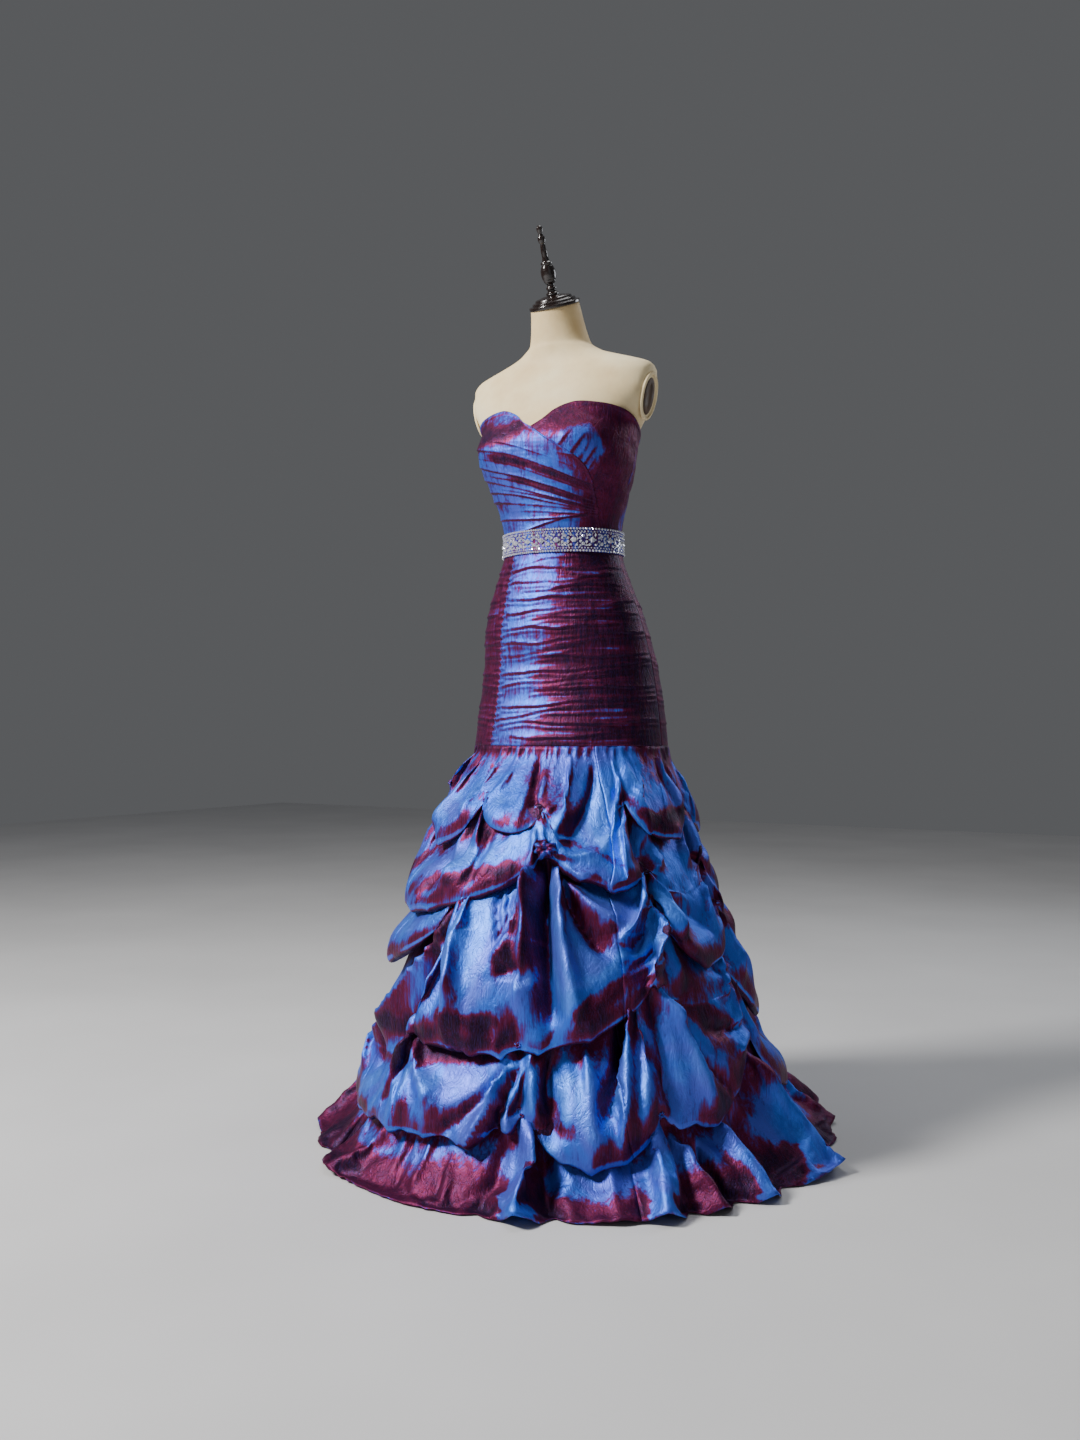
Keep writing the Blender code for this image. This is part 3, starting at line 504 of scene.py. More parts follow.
def taffeta(name):
    """Shot taffeta: the "shot" attribute says how blue (above 0) or burgundy (below 0) it shows, with
    painted highlight and painted shade laid into it.
    """
    n = Nodes(name)
    painted = n.add("Attribute", attribute_name="shot")
    streak = n.noise((210.0, 210.0, 11.0), 5.0, 0.72, 0.2)
    brush = n.noise((70.0, 70.0, 14.0), 4.0, 0.62, 0.6)
    # Both noises lie about 0.5, so a shot of 0 turns the ramp to its middle
    turn = n.math("MULTIPLY", painted.outputs["Fac"], 0.38)
    turn = n.math("MULTIPLY_ADD", streak, 0.58, turn)
    turn = n.math("MULTIPLY_ADD", brush, 0.42, turn)
    colour = n.ramp(turn, ((0.05, DEEP), (0.24, BURGUNDY), (0.40, CRIMSON), (0.49, VIOLET),
                           (0.60, AZURE), (0.72, AZURE), (0.92, PALE)))
    patches = n.range(n.noise((9.0, 9.0, 5.0), 3.0, 0.6, 0.8), 0.42, 0.62, 0.0, 0.65)
    colour = n.mix(n.math("MULTIPLY", patches, n.range(turn, 0.52, 0.62)), colour, PERIWINKLE)
    thread = n.noise((1100.0, 1100.0, 50.0), 3.0, 0.7)
    colour = n.mix(n.range(thread, 0.42, 0.72, 0.0, 0.35), colour, VIOLET)
    n.set(Base_Color=colour, Metallic=0.70, Roughness=n.range(streak, 0.3, 0.75, 0.44, 0.58),
          Sheen_Weight=0.06, Sheen_Roughness=0.35, Specular_IOR_Level=0.35,
          Sheen_Tint=(0.42, 0.46, 1.0, 1.0))
    slub = n.noise((320.0, 320.0, 16.0), 4.0, 0.7)
    crush = n.noise((52.0, 52.0, 20.0), 3.0, 0.6, 1.1)
    crease = n.math("ABSOLUTE", n.math("SUBTRACT", crush, 0.5))
    crease = n.math("MINIMUM", n.math("MULTIPLY", crease, 9.0), 1.0)
    weave = n.noise((1500.0, 1500.0, 700.0), 1.0)
    n.bump((crease, 0.35, 0.0011), (slub, 0.45, 0.0008), (weave, 0.20, 0.0002))
    return n.mat


def form_cover():
    """The form's linen: cream, a little stained, with its weft and warp."""
    n = Nodes("form_cover")
    soft = n.noise(9.0, 4.0, 0.6)
    stain = n.noise(40.0, 5.0, 0.7)
    colour = n.ramp(soft, ((0.30, (0.74, 0.54, 0.27)), (0.55, (0.88, 0.71, 0.41)),
                           (0.75, (0.94, 0.82, 0.53))))
    colour = n.mix(n.range(stain, 0.45, 0.8, 0.0, 0.22), colour, (0.60, 0.47, 0.28))
    weft = n.add("TexWave", wave_type="BANDS", bands_direction="Z")
    n.fill(weft, Scale=260.0, Distortion=1.2, Detail=2.0, Vector=n.point)
    warp = n.noise((900.0, 900.0, 120.0), 2.0)
    n.set(Base_Color=colour, Roughness=0.62, Sheen_Weight=0.12, Specular_IOR_Level=0.35)
    n.bump((weft.outputs["Fac"], 0.18, 0.0003), (warp, 0.22, 0.0003), (soft, 0.25, 0.003))
    return n.mat


def turned_wood():
    n = Nodes("dark_lacquered_wood")
    grain = n.noise((120.0, 120.0, 18.0), 5.0, 0.65, 1.2)
    colour = n.ramp(grain, ((0.30, (0.006, 0.003, 0.003)), (0.60, (0.014, 0.006, 0.004)),
                            (0.85, (0.040, 0.015, 0.008))))
    n.set(Base_Color=colour, Roughness=n.range(grain, 0.3, 0.8, 0.16, 0.32), Coat_Weight=0.6,
          Coat_Roughness=0.12, Specular_IOR_Level=0.6)
    n.bump((grain, 0.12, 0.0006))
    return n.mat


def thread_mat():
    n = Nodes("sewing_thread")
    twist = n.noise(700.0, 2.0)
    n.set(Base_Color=n.ramp(twist, ((0.3, (0.10, 0.12, 0.42)), (0.7, (0.24, 0.28, 0.66)))), Roughness=0.5)
    return n.mat


def metal(name, light, dark, roughness, metallic):
    n = Nodes(name)
    cloud = n.noise(60.0, 5.0, 0.65)
    fine = n.noise((900.0, 900.0, 90.0), 2.0)
    n.set(Base_Color=n.ramp(cloud, ((0.3, dark), (0.7, light))), Metallic=metallic,
          Roughness=n.range(cloud, 0.3, 0.7, roughness * 0.8, roughness * 1.3))
    n.bump((fine, 0.10, 0.0002))
    return n.mat


def stone_glass(name, tint):
    n = Nodes(name)
    # Painted sparkle: scattered near-white spots of painted highlight among spots of the stone's tint and
    # a darker tint
    painted_sparkle = n.noise(420.0, 1.0)
    n.set(Base_Color=n.ramp(painted_sparkle, ((0.28, tuple(c * 0.55 for c in tint)), (0.46, tint),
                                      (0.62, (0.95, 0.97, 1.0)))),
          Metallic=0.55, Roughness=0.07, Coat_Weight=1.0, Coat_Roughness=0.02)
    return n.mat


# The skirt

def swag(angle, tier):
    """Edge height, roll depth, pinch, and whether there is a roll (1) or plain cloth (0)."""
    rows = SWAGS[tier]
    starts = column(rows, 0)
    i = (np.searchsorted(starts, angle, side="right") - 1) % len(rows)
    j = (i + 1) % len(rows)
    span = (starts[j] - starts[i]) % 360.0
    past = (angle - starts[i]) % 360.0
    t = past / span
    heights, sags, rolls = (column(rows, k) for k in (1, 2, 3))
    hang = (4.0 * t * (1.0 - t)) ** SAG_SHAPE
    edge = heights[i] + (heights[j] - heights[i]) * t - sags[i] * hang
    rolled = rolls[i] > 0
    roll = TACK_ROLL + (rolls[i] - TACK_ROLL) * np.sqrt(hang) * rolled
    pinch = TACK_PINCH * (1.0 - hang)
    melted = 1.0 - ease(np.minimum(past, span - past), 0.0, MELT)
    return edge, roll, np.where(rolled, pinch, pinch * melted), np.where(rolled, 1.0, melted)


FROM_HIP_Z, CENTRE_Z = 0.56, 0.45    # heights where the hip's shape, and its centre, have died away


def skirt_radius(angle, z):
    round_ring = smooth_table(z, OUTLINE, 1)
    to_hip = np.clip((z - FROM_HIP_Z) / (HIP_Z - FROM_HIP_Z), 0.0, 1.0) ** 1.5
    radius = round_ring + (body_radius(angle, HIP_Z) - smooth_table(HIP_Z, OUTLINE, 1)) * to_hip
    sweep = np.clip(1.0 - z / HEM_REACH, 0.0, 1.0) ** 1.5
    return radius + (smooth_table(angle, HEM, 1) - smooth_table(0.0, OUTLINE, 1)) * sweep


def skirt_centre(z):
    return smooth_table(HIP_Z, BODY, 4) * np.clip((z - CENTRE_Z) / (HIP_Z - CENTRE_Z), 0.0, 1.0)


def unit(way):
    return way / np.linalg.norm(way, axis=-1, keepdims=True)


def bend(start, start_way, end, end_way, shares):
    """Points on a cubic curve, for every column at once."""
    reach = 0.40 * np.linalg.norm(end - start, axis=-1, keepdims=True)
    a, b, c, d = start, start + reach * start_way, end - reach * end_way, end
    t = np.asarray(shares)[:, None, None]
    return (1 - t) ** 3 * a + 3 * t * (1 - t) ** 2 * b + 3 * t * t * (1 - t) * c + t ** 3 * d


FACE_ROWS, ROLL_ROWS, BACK_ROWS, LAST_ROWS = 13, 4, 3, 16
OPEN_ROLL = 0.025        # how much deeper than at a tack a roll is once it is quite open
FLARE, FLARE_AT_HEM = 0.30, 0.62     # how far out the cloth runs for each metre down


def skirt_rest(angles):
    """The skirt's grid of points from the hip seam to the hem, with each row's tier and share of it.

    The share runs from 0 to 1 down a swag's face, to 1.5 round its roll and to 2 up to the tacks.
    """
    ones = np.ones_like(angles)

    def falling(flare):
        return unit(np.stack([ones * flare, -ones], axis=-1))

    start = np.stack([body_radius(angles, HIP_Z), ones * (HIP_Z - SEAM / 2)], axis=-1)
    way = falling(FLARE)
    rows, tiers, shares, rolls = [start[None]], [0], [0.0], [swag(angles, 0)[3]]
    for tier in range(len(SWAGS)):
        edge, roll, pinch, rolled = swag(angles, tier)
        opened = np.clip((roll - TACK_ROLL) / OPEN_ROLL, 0.0, 1.0)
        radius = skirt_radius(angles, edge) - pinch
        bow = np.maximum(ROLL_LEAST, ROLL_ROUND * roll)
        rise = np.maximum(RISE_OF_ROLL * roll, bow * 1.6)
        slope = (skirt_radius(angles, edge - 0.03) - skirt_radius(angles, edge + 0.03)) / 0.06
        plain_way = falling(slope)
        plain = np.stack([radius - FLAT_INSET, edge + bow], axis=-1)

        def blend(with_roll, without):
            return rolled[:, None] * with_roll + (1 - rolled[:, None]) * without

        def melt(points, number):
            """A point of the roll, or of the plain cloth where there is no roll."""
            return blend(points, plain + number * FLAT_STEP * plain_way)

        front = melt(np.stack([radius, edge + bow], axis=-1), 0)
        down = unit(blend(falling(FLARE * (1 - opened) - 0.10 * opened), plain_way))
        steps = np.linspace(0, 1, FACE_ROWS + 1)[1:]
        rows.append(bend(start, way, front, down, steps))
        tiers += [tier] * FACE_ROWS
        shares += list(steps)
        for number in range(1, ROLL_ROWS + 1):
            turn = math.pi * number / ROLL_ROWS
            point = [radius - bow + bow * math.cos(turn), edge + bow - bow * math.sin(turn)]
            rows.append(melt(np.stack(point, axis=-1), number)[None])
        tiers += [tier] * ROLL_ROWS
        shares += [1.0 + 0.5 * (k + 1) / ROLL_ROWS for k in range(ROLL_ROWS)]
        back = np.stack([radius - 2 * bow, edge + bow], axis=-1)
        tucked = np.stack([radius - np.maximum(roll, 2.4 * bow), edge + rise], axis=-1)
        for number in range(1, BACK_ROWS + 1):
            point = back + (tucked - back) * number / BACK_ROWS
            rows.append(melt(point, ROLL_ROWS + number)[None])
        start = rows[-1][0]
        tiers += [tier] * BACK_ROWS
        shares += [1.5 + 0.5 * (k + 1) / BACK_ROWS for k in range(BACK_ROWS)]
        rolls += [rolled] * (FACE_ROWS + ROLL_ROWS + BACK_ROWS)
        way = unit(blend(falling(FLARE - 0.12 * opened), plain_way))
    hem = np.stack([smooth_table(angles, HEM, 1), ones * HEM_Z], axis=-1)
    steps = np.linspace(0, 1, LAST_ROWS + 1)[1:]
    rows.append(bend(start, way, hem, falling(FLARE_AT_HEM), steps))
    tiers += [len(SWAGS)] * LAST_ROWS
    shares += list(steps)
    rolls += [ones] * LAST_ROWS
    profile = np.concatenate(rows)
    z = profile[..., 1]
    grid = place(angles[None, :], profile[..., 0], z, skirt_centre(z))
    return grid, np.array(tiers), np.array(shares), np.array(rolls)


def by_line(angle, z, a0, z0, a1, z1):
    """Each point's share of the way along a line on the skirt, its distance aside, and the length."""
    per_degree = math.radians(1.0) * float(smooth_table((z0 + z1) / 2, OUTLINE, 1))
    x, y = ((angle - a0 + 180.0) % 360.0 - 180.0) * per_degree, z - z0
    dx, dy = (a1 - a0) * per_degree, z1 - z0
    length = math.hypot(dx, dy)
    return (x * dx + y * dy) / length ** 2, (x * dy - y * dx) / length, length


def fold_out(angle, z, tier_here, fold):
    """How far one fold moves each point out."""
    first, last, *line, out, wide, lean = fold
    along, side, _ = by_line(angle, z, *line)
    leaning = np.where(side * lean > 0, 1 - abs(lean), 1 + abs(lean))
    spread = wide * (0.45 + 0.85 * np.clip(along, 0.0, 1.0)) * leaning
    profile = np.exp(-np.abs(side / spread) ** 1.6)
    ends = 1.0 if line[3] < HEM_Z else 1.0 - ease(along, 0.78, 1.12)
    return out * profile * ease(along, -0.06, 0.26) * ends * ((tier_here >= first) & (tier_here <= last))


LAST_SWAG = len(SWAGS) - 1
FAN_DROPS = (0.10, 0.11, 0.15, 0.11, 0.14)    # how far down the fans reach below each tier's tacks
SEEN_FROM, SEEN_TO = -50, 100


def fans():
    """Folds that fan out below each tack, with more of them where the photo hides the skirt."""
    chance = random.Random(11)
    folds = []
    for tier, rows in enumerate(SWAGS):
        for angle, height, _, _ in rows:
            seen = SEEN_FROM < angle < SEEN_TO
            if tier == LAST_SWAG and seen:
                continue
            to_side = 1 if seen else 2
            for k in range(2 * to_side + 1):
                turn = (k - to_side) * chance.uniform(4.5, 7.5) + chance.uniform(-1.5, 1.5)
                reach = FAN_DROPS[tier] * chance.uniform(0.6, 1.0)
                out = chance.uniform(0.007, 0.015) * (1 if k % 2 == 0 else -0.8)
                wide = chance.uniform(0.008, 0.016)
                low = 0.002 if tier == LAST_SWAG else height - reach
                folds.append((tier + 1, tier + 1, angle + turn * 0.2, height + 0.01, angle + turn, low,
                              out, wide, chance.uniform(-0.4, 0.4)))
                if tier < LAST_SWAG and k < 2:
                    up = (1 if k else -1) * chance.uniform(7, 12)
                    folds.append((tier, tier, angle + up * 0.15, height + 0.004, angle + up,
                                  height + chance.uniform(0.03, 0.06), -out * 0.5, wide * 0.7, 0.0))
    return folds


def refine(grid, ring):
    """Twice as many rows and columns, on smooth curves through the old ones."""
    for axis in (0, 1):
        g = np.moveaxis(grid, axis, 0)
        if ring and axis == 1:
            before, after, after2 = np.roll(g, 1, 0), np.roll(g, -1, 0), np.roll(g, -2, 0)
            middle = (9 * (g + after) - before - after2) / 16
            out = np.empty((2 * len(g),) + g.shape[1:])
            out[0::2], out[1::2] = g, middle
        else:
            padded = np.concatenate([2 * g[:1] - g[1:2], g, 2 * g[-1:] - g[-2:-1]])
            middle = (9 * (padded[1:-2] + padded[2:-1]) - padded[:-3] - padded[3:]) / 16
            out = np.empty((2 * len(g) - 1,) + g.shape[1:])
            out[0::2], out[1::2] = g, middle
        grid = np.moveaxis(out, 0, axis)
    return grid


SETTLE_FRAMES = 24
SETTLE_MOST = 0.030
SETTLE_IN = 0.004        # how far inwards the settling may draw the cloth
HEM_HOLD, TUCK_HOLD = 0.95, 0.35     # how firmly the hem and the swags' tucked backs are held


def settle(grid, tiers, shares, angles):
    """Lets the swags hang under their own weight between the tacks, as simulated cloth."""
    rows, cols = grid.shape[:2]
    index = np.arange(rows * cols).reshape(rows, cols)
    right = np.roll(index, -1, axis=1)
    quads = np.stack([index[:-1], right[:-1], right[1:], index[1:]], axis=-1).reshape(-1, 4)
    mesh = bpy.data.meshes.new("skirt_settling")
    mesh.from_pydata(grid.reshape(-1, 3).tolist(), [], quads.tolist())
    obj = in_scene("skirt_settling", mesh)
    held = obj.vertex_groups.new(name="held")
    weight = np.zeros((rows, cols))
    weight[0] = 1.0
    weight[-1] = HEM_HOLD
    for k in range(rows):
        if shares[k] == 2.0:
            _, roll, _, rolled = swag(angles, tiers[k])
            near = 1.0 - np.clip((roll - TACK_ROLL) / 0.02, 0.0, 1.0)
            weight[k] = np.maximum(TUCK_HOLD, near) * rolled
    for value in np.unique(np.round(weight, 2)):
        if value > 0:
            held.add(index[np.round(weight, 2) == value].tolist(), float(value), "REPLACE")
    cloth = obj.modifiers.new("cloth", "CLOTH")
    s = cloth.settings
    s.quality = 6
    s.mass = 0.25
    s.tension_stiffness = s.compression_stiffness = 25
    s.shear_stiffness = 12
    s.bending_stiffness = 0.6
    s.tension_damping = s.compression_damping = s.shear_damping = 8
    s.bending_damping = 0.8
    s.air_damping = 2.0
    s.vertex_group_mass = "held"
    s.pin_stiffness = 1.0
    s.shrink_min = -0.035
    s.effector_weights.gravity = 0.8
    cloth.collision_settings.use_collision = False
    cloth.point_cache.frame_start, cloth.point_cache.frame_end = 1, SETTLE_FRAMES
    scene = bpy.context.scene
    for number in range(1, SETTLE_FRAMES + 1):
        scene.frame_set(number)
    graph = bpy.context.evaluated_depsgraph_get()
    done = obj.evaluated_get(graph).to_mesh()
    points = np.empty(rows * cols * 3)
    done.vertices.foreach_get("co", points)
    points = points.reshape(rows, cols, 3)
    bpy.data.objects.remove(obj, do_unlink=True)
    scene.frame_set(1)
    moved = points - grid
    flat = grid[..., :2] / np.linalg.norm(grid[..., :2], axis=-1, keepdims=True)
    outwards = np.sum(moved[..., :2] * flat, axis=-1, keepdims=True)
    moved[..., :2] += (np.maximum(outwards, -SETTLE_IN) - outwards) * flat
    far = np.linalg.norm(moved, axis=-1, keepdims=True)
    moved *= np.minimum(1.0, SETTLE_MOST / np.maximum(far, 1e-9))
    return grid + moved


GATHER_DEEP, GATHER_FALL = 0.0024, 0.030


def gathers(angle, z):
    """Small upright gathers below the hip seam, uneven in spacing and depth."""
    turn = np.radians(angle)
    wave = (np.sin(23 * turn + 2.4 * np.sin(3 * turn))
            + 0.7 * np.sin(37 * turn + 2.6 * np.sin(5 * turn + 1.0))
            + 0.5 * np.sin(61 * turn + 3.2 * np.sin(4 * turn + 2.0)))
    down = HIP_Z - z
    fall = GATHER_FALL * (1.0 + 0.7 * np.sin(9 * turn + 1.0) * np.sin(4 * turn))
    return GATHER_DEEP * 0.5 * wave * ease(down, 0.0, 0.010) * np.exp(-down / fall)


# Points that hang from a swag's lower edge below a pulled pleat: tier, angle, drop and width
CUSPS = (
    (4, -31, 0.006, 3.0), (4, -19, 0.012, 3.6), (4, -6, 0.008, 2.6), (4, 3, 0.014, 3.0),
    (4, 13, 0.010, 2.4), (4, 30, 0.008, 2.4), (4, 36, 0.015, 3.0), (4, 43, 0.008, 2.0),
    (4, 60, 0.008, 3.0), (4, 70, 0.012, 3.5),
    (3, -12, 0.006, 3.0), (3, 4, 0.008, 2.2), (3, 12, 0.012, 2.4), (3, 24, 0.011, 3.0),
    (3, 36, 0.007, 2.4), (3, 66, 0.009, 3.0), (3, 84, 0.011, 3.6),
    (2, 64, 0.008, 3.0), (2, 80, 0.010, 3.0), (2, -50, 0.008, 4.0),
    (1, -38, 0.008, 3.0), (1, -24, 0.005, 2.4), (1, 34, 0.007, 2.0), (1, 46, 0.010, 2.6),
    (1, 72, 0.009, 3.0),
    (0, -50, 0.007, 3.4), (0, -36, 0.005, 2.4), (0, 66, 0.007, 3.0), (0, 84, 0.010, 3.4),
)


def hidden_cusps():
    """Uneven points on the sides and the back that the photo hides."""
    chance = random.Random(11)
    return [(tier, chance.uniform(100.0, 300.0), chance.uniform(0.004, 0.012), chance.uniform(2.2, 4.2))
            for tier in range(len(SWAGS)) for _ in range(9)]


def pulled(angle, share, tier):
    """How far down the cloth hangs at the cusps."""
    down = np.zeros(angle.shape)
    along = ease(share, 0.50, 1.0) * (1.0 - ease(share, 1.0, 1.35))
    for at_tier, at, drop, wide in (*CUSPS, *hidden_cusps()):
        away = np.abs((angle - at + 180.0) % 360.0 - 180.0)
        down += drop * np.exp(-away / wide) * along * (tier == at_tier)
    return down


SKIRT_COLUMNS = 240      # a multiple of 20, so that the gores' seams fall on columns
FOLD_SCALE = 1.35
BILLOW, CRINKLE, HEM_THICK = 0.0045, 0.0012, 0.0011
HEM_FOLD = 0.955         # share of the bottom tier where the turned-up hem begins
ALLOWANCE_IN = 0.0017    # how far inside the hip the skirt's seam allowance lies
ALLOWANCE_UP = (0.008, -0.0001)


def build_skirt(mat, thread):
    angles = -180.0 + 360.0 / SKIRT_COLUMNS * np.arange(SKIRT_COLUMNS)
    grid, tiers, shares, rolls = skirt_rest(angles)
    tier_here = np.broadcast_to(tiers[:, None], grid.shape[:2])
    angle_here = np.broadcast_to(angles[None, :], grid.shape[:2])
    out = np.zeros(grid.shape[:2])
    for fold in (*FOLDS, *fans()):
        out += FOLD_SCALE * fold_out(angle_here, grid[..., 2], tier_here, fold)
    at_top = ease(shares, 0.0, 0.18)[:, None]
    at_roll = 1.0 - 0.8 * ease(shares, 1.05, 1.5)[:, None] * rolls
    on_face = at_top + (1 - at_top) * (1 - plain_above(rolls, tiers))
    face = np.where((shares <= 1.0)[:, None], on_face, at_roll)
    out *= face
    out += BILLOW * uneven(grid * (1.0, 1.0, 0.7), 0.11, 3) * face
    out += gathers(angle_here, grid[..., 2]) * (tier_here == 0)
    down = pulled(angle_here, np.broadcast_to(shares[:, None], grid.shape[:2]), tier_here) * rolls
    out += 0.55 * down
    grid = grid + out[..., None] * outward(grid, True)
    grid[..., 2] = np.maximum(grid[..., 2] - down, HEM_Z)
    grid = settle(grid, tiers, shares, angles)
    grid[..., 2] = np.maximum(grid[..., 2], HEM_Z)
    grid = refine(grid, True)
    rolls = np.clip(refine(rolls[..., None], True)[..., 0], 0.0, 1.0)
    shares = np.interp(np.arange(len(grid)) / 2, np.arange(len(shares)), shares)
    tiers = np.repeat(tiers, 2)[1:]
    crinkle = uneven(grid * (1.0, 1.0, 0.5), 0.042, 5)
    hem = (tiers == len(SWAGS)) * ease(shares, HEM_FOLD, HEM_FOLD + 0.01)
    grid = grid + (CRINKLE * crinkle + HEM_THICK * hem[:, None])[..., None] * outward(grid, True)
    grid[..., 2] = np.maximum(grid[..., 2], 0.0012)
    step = 180.0 / SKIRT_COLUMNS
    fine = -180.0 + step * np.arange(2 * SKIRT_COLUMNS)
    shot = shot_of_skirt(tiers, shares, rolls, fine, grid)
    allowance = [on_body(fine, np.full_like(fine, HIP_Z + up), -ALLOWANCE_IN) for up in ALLOWANCE_UP]
    whole = np.concatenate([allowance, grid])
    shot = np.concatenate([shot[:1], shot[:1], shot])
    for name, first, last in GORES:
        chosen = np.arange(int(round((first + 180) / step)), int(round((last + 180) / step)) + 1)
        chosen = chosen % len(fine)
        cut = whole[:, chosen].copy()
        for end, side in ((0, 1.0), (-1, -1.0)):
            turn = math.radians(fine[chosen[end]])
            cut[:, end] += side * SEAM / 2 * np.array([math.cos(turn), math.sin(turn), 0.0])
        piece = shell_object(name + "_cloth", cut, mat, SKIRT_THICK, shot=shot[:, chosen])
        hand_over(piece, name)
    build_knots(mat, grid, tiers, shares, fine)
    build_hem_stitches(grid, tiers, shares, thread)


def plain_above(rolls, tiers):
    """For every row, 1 where the tier above it ends in a roll and 0 where the cloth runs on plain."""
    above = np.ones_like(rolls)
    for tier in range(1, len(SWAGS) + 1):
        above[tiers == tier] = rolls[tiers == tier - 1][-1]
    return above


# Places where the cloth shows more blue or more burgundy, mostly painted light: blue strokes are painted
# highlight on folds that stand out, burgundy strokes painted shade in sunk folds and under swag edges. One
# row each: first and last tier, where the stroke starts and ends, how much, and its half width at its
# start and at its end
PAINTED_LIGHT_STROKES = (
    # first, last, from_angle, from_z, to_angle, to_z, amount, start_wide, end_wide
    (2, 3, 19, 0.530, 14, 0.372, -1.10, 0.003, 0.030),
    (2, 3, 27, 0.530, 41, 0.400, -1.10, 0.006, 0.022),
    (2, 3, -8, 0.277, 10, 0.270, -1.00, 0.010, 0.012),
    (2, 3, 33, 0.292, 51, 0.350, -0.90, 0.014, 0.012),
    (2, 3, -3, 0.430, 4, 0.310, 0.50, 0.020, 0.030),
    (2, 3, 30, 0.420, 32, 0.320, 0.45, 0.020, 0.030),
    (2, 3, 52, 0.430, 55, 0.380, 0.40, 0.030, 0.030),
    (1, 1, -40, 0.462, 8, 0.512, -1.00, 0.016, 0.009),
    (1, 1, -56, 0.480, -46, 0.515, -1.10, 0.018, 0.012),
    (1, 1, -30, 0.560, -18, 0.500, 0.60, 0.030, 0.034),
    (1, 1, 28, 0.552, 50, 0.512, -0.90, 0.004, 0.006),
    (1, 1, 32, 0.585, 34, 0.560, -0.80, 0.012, 0.012),
    (1, 1, 42, 0.560, 52, 0.520, 0.50, 0.014, 0.016),
    (0, 0, -57, 0.640, -40, 0.600, 0.60, 0.020, 0.026),
    (0, 0, 58, 0.590, 92, 0.586, -1.00, 0.010, 0.012),
    (2, 2, -60, 0.440, -30, 0.415, -0.60, 0.010, 0.014),
    (3, 4, -16, 0.420, -48, 0.240, -0.95, 0.012, 0.028),
    (3, 4, -22, 0.370, -26, 0.270, 0.60, 0.014, 0.024),
    (3, 4, -44, 0.232, -12, 0.232, -0.90, 0.012, 0.016),
    (0, 1, 10, 0.640, 30, 0.600, -0.70, 0.030, 0.026),
    (4, 4, -38, 0.180, 9, 0.222, -1.20, 0.022, 0.014),
    (4, 4, 19, 0.245, 5, 0.112, 0.70, 0.018, 0.012),
    (4, 4, -20, 0.215, -16, 0.190, 0.70, 0.006, 0.016),
    (4, 4, 26, 0.150, 31, 0.120, -0.90, 0.010, 0.016),
    (4, 4, 45, 0.220, 40, 0.170, -0.70, 0.010, 0.012),
    (4, 4, 30, 0.230, 33, 0.140, 0.50, 0.016, 0.018),
    (4, 4, 66, 0.330, 80, 0.240, -0.90, 0.012, 0.030),
    (4, 4, 90, 0.300, 86, 0.245, 0.50, 0.012, 0.024),
    (5, 5, 20, 0.150, 21, 0.002, 0.95, 0.010, 0.024),
    (5, 5, 54, 0.140, 50, 0.002, 0.90, 0.010, 0.026),
    (5, 5, 72, 0.130, 74, 0.020, 0.70, 0.014, 0.020),
    (5, 5, 62, 0.090, 66, 0.006, -0.60, 0.010, 0.022),
    (5, 5, 88, 0.175, 93, 0.006, 0.95, 0.020, 0.060),
    (5, 5, 112, 0.170, 112, 0.006, -0.80, 0.030, 0.060),
    (5, 5, -56, 0.100, -52, 0.006, -0.60, 0.016, 0.030),
)


def stroke(angle, z, tier, row):
    """How much one stroke adds to each place's shot."""
    first, last, *line, amount, wide0, wide1 = row
    along, side, length = by_line(angle, z, *line)
    wide = wide0 + (wide1 - wide0) * np.clip(along, 0.0, 1.0)
    past = np.maximum(np.maximum(-along, along - 1.0), 0.0) * length
    away = np.sqrt(side ** 2 + past ** 2) / wide
    return amount * (1.0 - ease(away, 0.35, 1.55)) * ((tier >= first) & (tier <= last))


